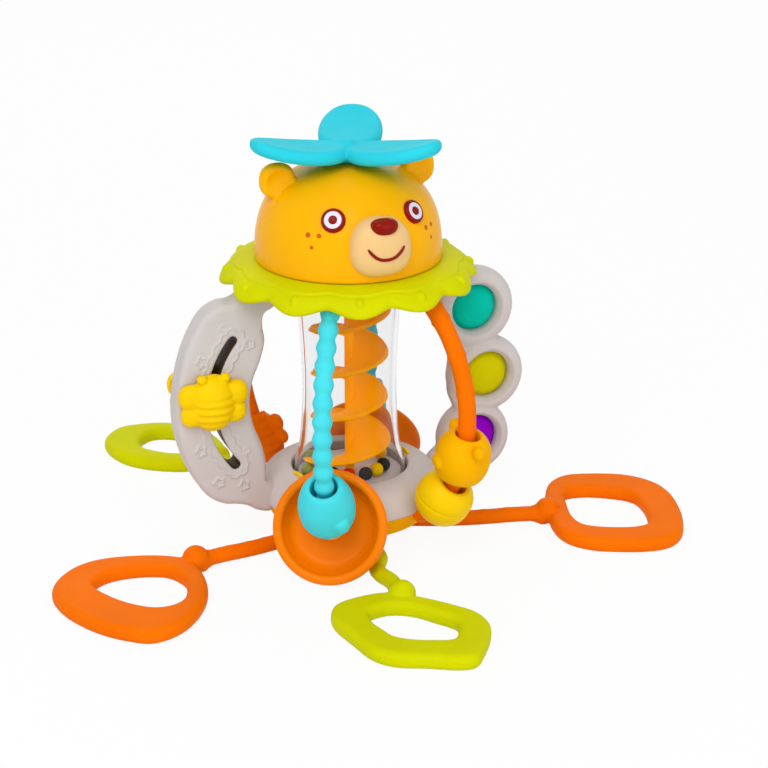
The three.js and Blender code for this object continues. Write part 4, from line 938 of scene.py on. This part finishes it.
class BearCollar(Operator):
    """Makes the collar: a bell 7.7((r - 46) / 15.3)^2.6 deep, cut to twelve lobes by |cos 6t|."""

    bl_idname = "bear.collar"
    bl_label = "Collar"

    lobes, first_lobe, cut = 12, math.radians(-75), 2.0
    ease, trough, crest = 0.04, 0.2, 1.0198
    line_at, stud_at = 54.0, 58.2

    def bell(self, r):
        """Height of the bell at a radius."""
        return -7.7 * (np.clip(r - 46, 0, None) / 15.3) ** 2.6

    def execute(self, context):
        b = COLLAR_BOTTOM
        section = [[38, b], [48, b], [55.7, b - 3.53], [60.6, b - 8.6], [62, b - 7.4],
                   [61.3, b - 4.6], [57.5, b - 0.4], [52.5, b + 2.2], [46, b + 3.1], [38, b + 3]]
        reach = [0.8, 5, 5, 0.9, 1.3, 3, 4, 4, 4, 0.8]
        profile = evenly(rounded(section, reach), 0.55, True)
        t = full_turn(720)[None, :]
        r, h = profile[:, :1], profile[:, 1:]
        ahead = unit(np.roll(profile, -1, 0) - np.roll(profile, 1, 0))
        outward, upward = ahead[:, 1:], -ahead[:, :1]
        wave = np.sqrt(np.cos(self.lobes / 2 * (t - self.first_lobe)) ** 2 + self.ease)
        swing = 2 * (wave - self.trough) / (self.crest - self.trough) - 1
        upper = np.clip((upward - 0.2) / 0.3, 0, 1) * (r > 47)
        edge = r + np.clip((r - 48) / 14, 0, 1) * self.cut * (swing - 1)
        h = h + 0.85 * (self.bell(edge) - self.bell(r))
        line = self.line_at + swing
        ridge = 0.42 * np.tanh((line - edge) / 0.35) * np.exp(-(((edge - line) / 1.3) ** 2))
        away = np.angle(np.exp(1j * self.lobes * (t - self.first_lobe))) / self.lobes * edge
        size = context.scene.bear_detail.stud
        stud = 1.5 * np.exp(-((((edge - self.stud_at) ** 2 + away**2) / size**2) ** 2))
        lift = upper * (ridge + stud)
        edge, height = edge + outward * lift, h + upward * lift
        points = np.stack([edge * np.cos(t), edge * np.sin(t), height], -1).reshape(-1, 3)
        put("scalloped_collar", (points, grid(len(profile), t.size, True)), "base",
            "lime_silicone", "collar", crease=60)
        return {"FINISHED"}


class BearPropeller(Operator):
    """Makes the three-petalled propeller: upturned slabs with round edges on a domed hub."""

    bl_idname = "bear.propeller"
    bl_label = "Propeller"

    half, fillet, reach, middle, underside = 3.5, 3.3, 50.5, 24.9, 190.3

    def petal(self, angle):
        """A slab on an ellipse: a half round edge, a dished top and an upturned tip."""
        wave = compass(full_turn(160))
        plan = evenly(np.sign(wave) * np.abs(wave) ** (2 / 2.2) * [24.1, 15.5], 0.8, True)
        inner = inset(plan, self.fillet)
        steps = np.linspace(0.05, 0.95, 9)
        rows = [level(inner * k, self.half - 0.7 * (1 - k**4)) for k in steps]
        rows += edge_rows(plan, self.half, self.fillet, 9)
        rows += [level(inner * k, -self.half) for k in steps[::-1]]
        rows = np.array(rows) + [self.middle, 0, self.underside + 5.4]
        rows[..., 2] += 8.4 * (rows[..., 0] / self.reach) ** 2
        return on_spoke(capped(rows), angle)

    def execute(self, context):
        hub = turned([[0, 190.35], [5.2, 190.35], [6.4, 192.4], [6.8, 196.6], [5.6, 199.0],
                      [3.2, 199.9], [0, 200.1]], 1.2)
        shape = together(hub, blob((3.6, 3.6, 1.6), (0, 0, 199.6)),
                         *[self.petal(a) for a in (-53, 67, 187)])
        put("petals", fused("propeller", shape, context.scene.bear_detail.skin, 8), "propeller",
            "cyan_silicone", "propeller")
        pin = [[0, 190.2], [2.2, 190.2], [2.2, 194.6], [1.6, 195.4], [0, 195.4]]
        put("propeller_axle", turned(pin, 0.3, 0.6, 48), "base", "warm_gray", "propeller_pin")
        return {"FINISHED"}


# ---------------------------------------------------------------- rods, dishes and beads

ARC_ROWS, ARC_TOP = 520, np.array([42.2, 137.3])


def arc_angle(rise):
    """Where the arcs' circle passes a height over the sockets, in degrees."""
    return math.degrees(math.asin((SOCKET_HEIGHT + rise - ARC_CENTRE[1]) / ARC_RADIUS))


def arc_path(bend_rise, socket_reach):
    """The arcs' circle from the head floor to a bend, then a curve into the straight end."""
    top = math.degrees(math.atan2(*(ARC_TOP - ARC_CENTRE)[::-1]))
    a = np.radians(np.linspace(top, arc_angle(bend_rise), 120))
    circle = ARC_CENTRE + ARC_RADIUS * compass(a)
    inwards, socket = -compass(math.radians(BUSH_TILT)), np.array([SOCKET_FACE, SOCKET_HEIGHT])
    straight, end = socket - inwards * socket_reach, socket + inwards * 2
    down = np.array([math.sin(a[-1]), -math.cos(a[-1])])
    gap = straight - circle[-1]
    cross = down[0] * inwards[1] - down[1] * inwards[0]
    control = circle[-1] + down * (gap[0] * inwards[1] - gap[1] * inwards[0]) / cross
    s = np.linspace(0, 1, 40)[1:, None]
    bend = (1 - s) ** 2 * circle[-1] + 2 * s * (1 - s) * control + s**2 * straight
    line = np.vstack([circle, bend, end])
    length = walked(line)[-1]
    return np.insert(sampled(line, np.linspace(0, length, ARC_ROWS)), 1, 0, axis=1), length


class BearArcs(Operator):
    """Makes the two beaded cyan arcs and the two studded orange arcs."""

    bl_idname = "bear.arcs"
    bl_label = "Arcs"

    def execute(self, context):
        share = np.linspace(0, 1, ARC_ROWS)
        path, _ = arc_path(18, 7.8)
        turns = 2 * np.pi * context.scene.bear_detail.swellings
        swell = (0.5 + 0.5 * np.cos(turns * share)) ** 0.8
        held = np.clip((share - 0.885) / 0.015, 0, 1)
        rod = swept(path, 3.62 + 1.12 * swell * (1 - held) - 0.17 * held, (0, 1, 0), 48)
        for name, angle in CYAN_SPOKES.items():
            put(f"beaded_arc_{name}", on_spoke(rod, angle), "base", "aqua_silicone",
                f"arc_cyan_{name}")
        path, length = arc_path(3, 0.6)

        def warts(share, a):
            return 0.45 * sum(wart(share, a, at, way + 0.25 * (i % 2), length, 1.3, 0.33)
                              for i, at in enumerate(np.arange(10, length * 0.62, 9.2))
                              for way in (0.12, 0.62))

        rod = swept(path, 4.2 + 0.55 * np.clip(1 - share * 5, 0, 1), (0, 1, 0), 48, warts)
        for name, angle in ORANGE_SPOKES.items():
            put(f"studded_arc_{name}", on_spoke(rod, angle), "base", "orange_silicone",
                f"arc_orange_{name}")
        return {"FINISHED"}


class BearDishes(Operator):
    """Makes the two orange dishes with rolled rims, and the bush that holds each one."""

    bl_idname = "bear.dishes"
    bl_label = "Dishes"

    def execute(self, context):
        bowl = [[5.6, 0], [19, 0], [23.5, 5.2], [26.2, 6.2], [27.8, 8.4], [27.0, 10.8],
                [24.8, 11.5], [23.0, 10.5], [22.5, 8.2], [19.2, 2.4], [5.6, 2.4]]
        reach = [0.5, 4, 1.2, 1.5, 1.6, 1.6, 1.6, 1.2, 1.6, 3, 0.5]
        bush = [[3.75, 4.9], [6.2, 4.9], [6.2, 6.5], [5.3, 7.5], [3.75, 7.5]]
        dish = on_dish_axis(turned(bowl, reach, 0.7, 144), 2.2)
        cap = on_dish_axis(turned(bush, 0.4, 0.5))
        for name, angle in CYAN_SPOKES.items():
            put(f"spin_dish_{name}", on_spoke(dish, angle), f"dish_{name}", "dish_orange",
                f"dish_{name}")
            put(f"dish_cap_{name}", on_spoke(cap, angle), "base", "golden_shell",
                f"dish_bush_{name}")
        return {"FINISHED"}


class BearBeads(Operator):
    """Makes the beads on the arcs: two round ones with a nub, a ball, a bear and a bee."""

    bl_idname = "bear.beads"
    bl_label = "Beads"

    # Half length, radius, bore and step of each bead, then shares of half length and of radius
    round_bead = (15.5, 13.5, 6.5, 0.8, shares(-84, 64, -70, 80, -42, 95, -4, 100, 35, 96, 70, 83,
                                               93, 69, 100, 60))
    ball_bead = (11.2, 13.9, 6.2, 0.45, shares(-100, 58, -80, 78, -45, 95, 0, 100, 45, 95, 80, 78,
                                               100, 58))
    bear_bead = (12.4, 13.3, 6, 0.8, shares(-100, 60, -86, 80, -45, 96, 0, 100, 45, 95, 80, 76,
                                            100, 56))
    bee_bead = (12.5, 9.6, 6.4, 0.5, shares(-100, 78, -80, 86, -40, 96, 0, 100, 40, 96, 80, 86,
                                            100, 72))
    # Half sizes and place of the bear bead's ears, their roots and its muzzle
    bear_parts = [((3.6, 3.0, 3.6), (-14.2, 0, 8.0)), ((3.6, 3.0, 3.6), (14.2, 0, 10.4)),
                  ((2.6, 2.2, 2.2), (-11, 0, 7.6)), ((2.6, 2.2, 2.2), (11, 0, 9.4)),
                  ((4.4, 2.6, 3.6), (0, -12.2, -2.4))]
    cyan_rise, ball_rise, bead_gap = 18.8, 12.3, 3.3

    def bored(self, bead, start=None, change=None):
        """A bored bead; beyond a start radius its skin goes out by change(points)."""
        half, radius, bore, step, outline = bead
        knots = outline[:, ::-1] * [radius, half]
        low, top = knots[0, 1], knots[-1, 1]
        lip = [[bore + 0.4, top - 0.1], [bore, top - 0.9], [bore, low + 0.9],
               [bore + 0.4, low + 0.1]]
        points, faces = lathe(evenly(np.vstack([curve_through(knots, 50), lip]), step, True), 96)
        if change:
            wide = np.hypot(points[:, 0], points[:, 1])
            out = np.where(wide > start, change(points), 0)
            points[:, :2] *= (1 + out / np.maximum(wide, 1))[:, None]
        return points, faces

    def thread(self, name, shape, at, spoke, body, look):
        """Puts a bead on its rod, where it rides on the body of its own CAD node."""
        put(name, on_spoke(threaded(shape, at), spoke), body, look, body)

    def execute(self, context):
        cell = context.scene.bear_detail.skin
        ball_at = arc_angle(self.ball_rise)
        apart = self.ball_bead[0] + self.bear_bead[0] + self.bead_gap
        bear_at = ball_at + math.degrees(2 * math.asin(apart / (2 * ARC_RADIUS)))
        nub = blob((2.6, 3.6, 4.0), (13.1, 0, -1.4), 2.6, 42)
        shape = fused("round_bead", together(self.bored(self.round_bead), nub), cell, 4)
        for name, spoke in CYAN_SPOKES.items():
            self.thread(f"round_bead_{name}", shape, arc_angle(self.cyan_rise), spoke,
                        f"bead_cyan_{name}", "aqua_silicone")

        def groove(p):
            slant = p[:, 2] - 0.16 * p[:, 0] - 0.2
            return -0.45 * np.exp(-((slant / 0.42) ** 2))

        shape = self.bored(self.ball_bead, 11, groove)
        self.thread("ball_bead", shape, ball_at, ORANGE_SPOKES["front"], "bead_ball",
                    "lemon_plastic")
        parts = [blob(half, place, 2.2, -30) for half, place in self.bear_parts]
        shape = fused("bear_bead", together(self.bored(self.bear_bead), *parts), cell, 4)
        self.thread("bear_bead", shape, bear_at, ORANGE_SPOKES["front"], "bead_bear",
                    "golden_silicone")
        body = self.bored(self.bee_bead, 7.2, lambda p: 0.4 * np.cos(p[:, 2] * 2 * np.pi / 4.2))
        wings = [blob((9.6 * k, 2.5, 9.6 * k), (side * 11.0, 0, 12.5 * z), 2.2, 15)
                 for z, k in ((0.28, 0.5), (-0.34, 0.4)) for side in (-1, 1)]
        shape = fused("bee_bead", together(body, *wings), cell, 3,
                      cut=turned([[0, -20], [6.35, -20], [6.35, 20], [0, 20]], 0.1))
        self.thread("bee_bead", shape, ball_at, ORANGE_SPOKES["back"], "bead_bee", "bee_orange")
        return {"FINISHED"}


# ---------------------------------------------------------------- handle and panel


class BearHandle(Operator):
    """Makes the slotted handle with its raised lace, flowers and dots, and the bee in its slot."""

    bl_idname = "bear.handle"
    bl_label = "Handle and bee"

    # The plate's outline in shares of its size: down the outer side, then up the inner one
    outline = shares(-12, 104, 12, 104, 22, 99, 34, 96.5, 48, 96, 64, 92.5, 79, 84, 91, 72.5,
                     98.5, 58.5, 100, 45, 93, 31, 81, 19, 65, 10, 48, 6, 34, 5, 22, 3.5, 12, 1,
                     -4, -0.5, -14, 3,
                     -10, 11.5, 0, 15, -1, 21, 3, 30, 13, 41, 16.5, 50.5, 13, 60, 3, 70, -2, 78,
                     0, 85, -2, 90, -14, 93)
    size, corner = [44, 113], [45.1, 20]
    flowers = [[76.4, 102.1], [52.5, 108.3], [78.0, 56.9], [69.4, 39.3], [57.0, 36.2]]
    dots = [[65.2, 117.7], [55.3, 54.0]]
    tallest, bee_angle, bee_lift = 1.25, 3.4, 7.85

    def slot(self):
        """The slot's edge: its arc moved out and in by half its width, with round ends."""
        a = np.radians(np.linspace(-SLOT_HALF, SLOT_HALF, 60))
        line, out = SLOT_CENTRE + SLOT_RADIUS * compass(a), SLOT_WALL * compass(a)
        b = np.linspace(0, np.pi, 14)[1:-1]
        high, low = (end + SLOT_WALL * compass(b + start)
                     for end, start in ((line[-1], a[-1]), (line[0], a[0] + np.pi)))
        return np.vstack([line + out, high, (line - out)[::-1], low])

    def relief(self, place):
        """Scalloped lace round the slot, five-petalled flowers and dots, as a height."""
        rel = place - SLOT_CENTRE
        angle = np.degrees(np.arctan2(rel[:, 1], rel[:, 0]))
        held = np.radians(np.clip(angle, -SLOT_HALF, SLOT_HALF))
        gap = place - (SLOT_CENTRE + SLOT_RADIUS * compass(held))
        away = np.linalg.norm(gap, axis=-1)
        turn = np.arctan2(gap[:, 1], gap[:, 0]) * 6.5
        along = np.where(np.abs(angle) > SLOT_HALF, turn, held * SLOT_RADIUS)
        lace = 6.0 + 1.1 * np.abs(np.sin(np.pi * along / 6.2))
        rise = np.clip((lace - away) / 0.5 + 0.5, 0, 1) * 0.5
        rise = rise + np.exp(-(((away - lace + 0.7) / 0.55) ** 2)) * 0.7
        rise = rise - np.clip((3.6 - away) / 0.8, 0, 1) * 0.4
        for spot in self.flowers:
            x, z = (place - spot).T
            petal = 2.15 + 0.5 * np.cos(5 * np.arctan2(z, x))
            rise = rise + np.exp(-(((np.hypot(x, z) - petal) / 0.62) ** 2)) * 1.25
        for spot in self.dots:
            far = np.hypot(*(place - spot).T)
            rise = rise + np.exp(-((far / 1.9) ** 6)) * 0.5
            rise = rise + np.exp(-(((far - 1.6) / 0.4) ** 2)) * 0.6
        return np.minimum(rise, self.tallest)

    def plate(self):
        """A stack of rounded outlines, its faces drawn in by rays to a middle line."""
        outline = curve_through(self.outline * self.size + self.corner, 420, True)[::-1]
        rel = outline - SLOT_CENTRE
        ray = np.radians(np.clip(np.degrees(np.arctan2(rel[:, 1], rel[:, 0])), -62, 62))
        spine = SLOT_CENTRE + (SLOT_RADIUS - 2) * compass(ray)
        return capped([level(spine, PLATE), *edge_rows(outline, PLATE, 3.2, 8),
                       level(spine, -PLATE)])

    def stand(self, name, shape, body, look, *nodes, **extra):
        """Puts a piece drawn flat in its upright place on the handle's side of the toy."""
        put(name, on_spoke(upright(shape), HANDLE_SPOKE), body, look, *nodes, **extra)

    def execute(self, context):
        slot = self.slot()
        points, faces = fused("handle", self.plate(), 0.42, 5,
                              cut=capped([level(slot, h) for h in (-9.0, 9.0)]))
        y = points[:, 2]
        on_face = np.clip((np.abs(y) - PLATE + 0.9) / 0.5, 0, 1)
        rise = self.relief(points[:, :2]) * context.scene.bear_detail.relief * on_face
        points[:, 2] = y + np.sign(y) * rise * 0.8
        self.stand("slotted_handle", (points, faces), "base", "warm_gray", "handle", crease=60)
        # A thin dark band just inside the slot's walls is painted shade, darkening the slot's
        # inside in place of shadow; the handle is warm gray all through.
        lining = band(inset(slot, -0.4), inset(slot, 0.06), 6.3, 0.05, 0.03)
        self.stand("slot_lining", lining, "base", "slot_lining")
        self.bee()
        return {"FINISHED"}

    def bee(self):
        """Two bee halves, one on each face, with a ribbed body, four wings and two feelers."""
        points, faces = egg((10.6, 14.3, 9.6), 2.15, 110, 110)
        rib = np.exp(-((np.clip(np.abs(points[:, 1] + 3) - 6.5, 0, None) / 1.2) ** 2))
        ring = 0.45 * np.cos((points[:, 1] - 1.2) * 2 * np.pi / 3.9) * rib
        size = np.linalg.norm(points, axis=1, keepdims=True)
        parts = [(points * (1 + ring[:, None] / size), faces)]
        for side in (-1, 1):
            parts += [blob((6.6, 6.4, 4.4), (side * 10.4, 4.2, 1.7), 2.4),
                      blob((5.8, 5.6, 4.0), (side * 10.2, -4.9, 1.7), 2.4),
                      blob((2.5, 2.3, 2.7), (side * 5.6, 13.0, 3.4))]
        points, faces = together(*parts)
        points[:, 2] = np.maximum(points[:, 2], 0)
        points, faces = fused("bee", (points, faces), 0.5, 3)
        points[:, 2] = np.maximum(points[:, 2], 0.0) + self.bee_lift
        spot = (*(SLOT_CENTRE + SLOT_RADIUS * compass(math.radians(self.bee_angle))), 0)
        for name, flip in (("back", 0), ("front", 180)):
            self.stand(f"bee_slider_{name}", moved((points, faces), spot, "Y", flip), "bee",
                       "lemon_plastic", f"bee_{name}")
        pin = turned([[0, -7.2], [2.1, -7.2], [2.1, 7.2], [0, 7.2]], 0.2, 1.0, 40)
        self.stand("bee_stem", moved(pin, spot), "bee", "warm_gray", "bee_pin")


class BearPanel(Operator):
    """Makes the popper panel: three puffed lobes with funnels, necks and three domed poppers."""

    bl_idname = "bear.panel"
    bl_label = "Popper panel"

    # Distance out, height and share of the full size of each lobe
    lobes = {"top": (64.5, 110.5, 1.02), "middle": (71.5, 74.5, 0.98), "bottom": (65.5, 41.5, 0.93)}
    lobe_radius = 20.52
    necks = [
        [[40.5, 125.6], [55, 117.8], [66, 117.8], [66, 128.0], [56, 131.5], [40.5, 133.2]],
        [[41.0, 19.4], [52, 22.2], [65.5, 24.0], [65.5, 41.5], [54, 44.0], [41.0, 33.4]],
        [[55, 95], [52, 82], [52, 66], [57, 54], [75, 54], [82, 70], [82, 80], [74, 98]],
    ]
    funnel = [[0, -12], [16.6, -12], [14.2, -7.0], [12.6, -5.0], [11.9, -3.6], [11.9, 3.6],
              [12.6, 5.0], [14.2, 7.0], [16.6, 12], [0, 12]]
    popper = [[0, 5.9], [3.5, 5.6], [7, 4.7], [9.4, 3.4], [10.7, 2.0], [11.2, 1.3], [11.75, 1.1],
              [11.8, -1.2], [10.4, -1.1], [6, 2.2], [3, 3.1], [0, 3.4]]

    def lobe(self, radius):
        """A puffed disc: steep round side walls and a gently domed face."""
        upper = shares(0, 100, 50, 100, 78, 96, 90, 80, 97, 50, 100, 0) * [radius, PLATE]
        return turned(np.vstack([(upper * [1, -1])[:-1], upper[::-1]]), 1.5, 1.2)

    def execute(self, context):
        shapes = [moved(self.lobe(self.lobe_radius * k), (r, z, 0))
                  for r, z, k in self.lobes.values()]
        for neck in self.necks:
            shapes.append(capped(edge_rows(evenly(rounded(neck, 3.0), 1.0, True), 4.35, 3.0)))
        cutters = [moved(turned(self.funnel, 1.0), (r, z, 0)) for r, z, _ in self.lobes.values()]
        skin = fused("panel", together(*shapes), 0.55, 6, cut=together(*cutters))
        put("popper_panel", upright(skin), "base", "warm_gray", "panel", crease=60)
        for name, (r, z, _) in self.lobes.items():
            dome = moved(turned(self.popper, 0.6, 0.5), (r, z, 0))
            put(f"popper_dome_{name}", upright(dome), f"popper_{name}", f"popper_{name}",
                f"popper_{name}")
        return {"FINISHED"}


# ---------------------------------------------------------------- sidebar and start


class BearPanelView(Panel):
    """Lists the toy's pieces and settings in the sidebar."""

    bl_idname = "VIEW3D_PT_bear"
    bl_label = "Sensory toy bear"
    bl_space_type = "VIEW_3D"
    bl_region_type = "UI"
    bl_category = "Toy bear"

    def draw(self, context):
        for group in (context.scene.bear_colours, context.scene.bear_detail):
            column = self.layout.column(align=True)
            for name in group.__annotations__:
                column.prop(group, name)
        column = self.layout.column(align=True)
        for maker in MAKERS:
            column.operator(maker.bl_idname)


MAKERS = [BearStage, BearCords, BearRings, BearBase, BearTumbler, BearHead, BearCollar,
          BearPropeller, BearArcs, BearDishes, BearBeads, BearHandle, BearPanel]
CLASSES = [BearColours, BearDetail, *MAKERS, BearPanelView]


def register():
    """Adds the classes and the scene's settings."""
    for item in CLASSES:
        bpy.utils.register_class(item)
    bpy.types.Scene.bear_colours = PointerProperty(type=BearColours)
    bpy.types.Scene.bear_detail = PointerProperty(type=BearDetail)


def unregister():
    """Takes them away again."""
    del bpy.types.Scene.bear_detail
    del bpy.types.Scene.bear_colours
    for item in reversed(CLASSES):
        bpy.utils.unregister_class(item)


def main():
    register()
    for maker in MAKERS:
        call = maker.bl_idname.split(".")[1]
        getattr(bpy.ops.bear, call)()


if __name__ == "__main__":
    main()
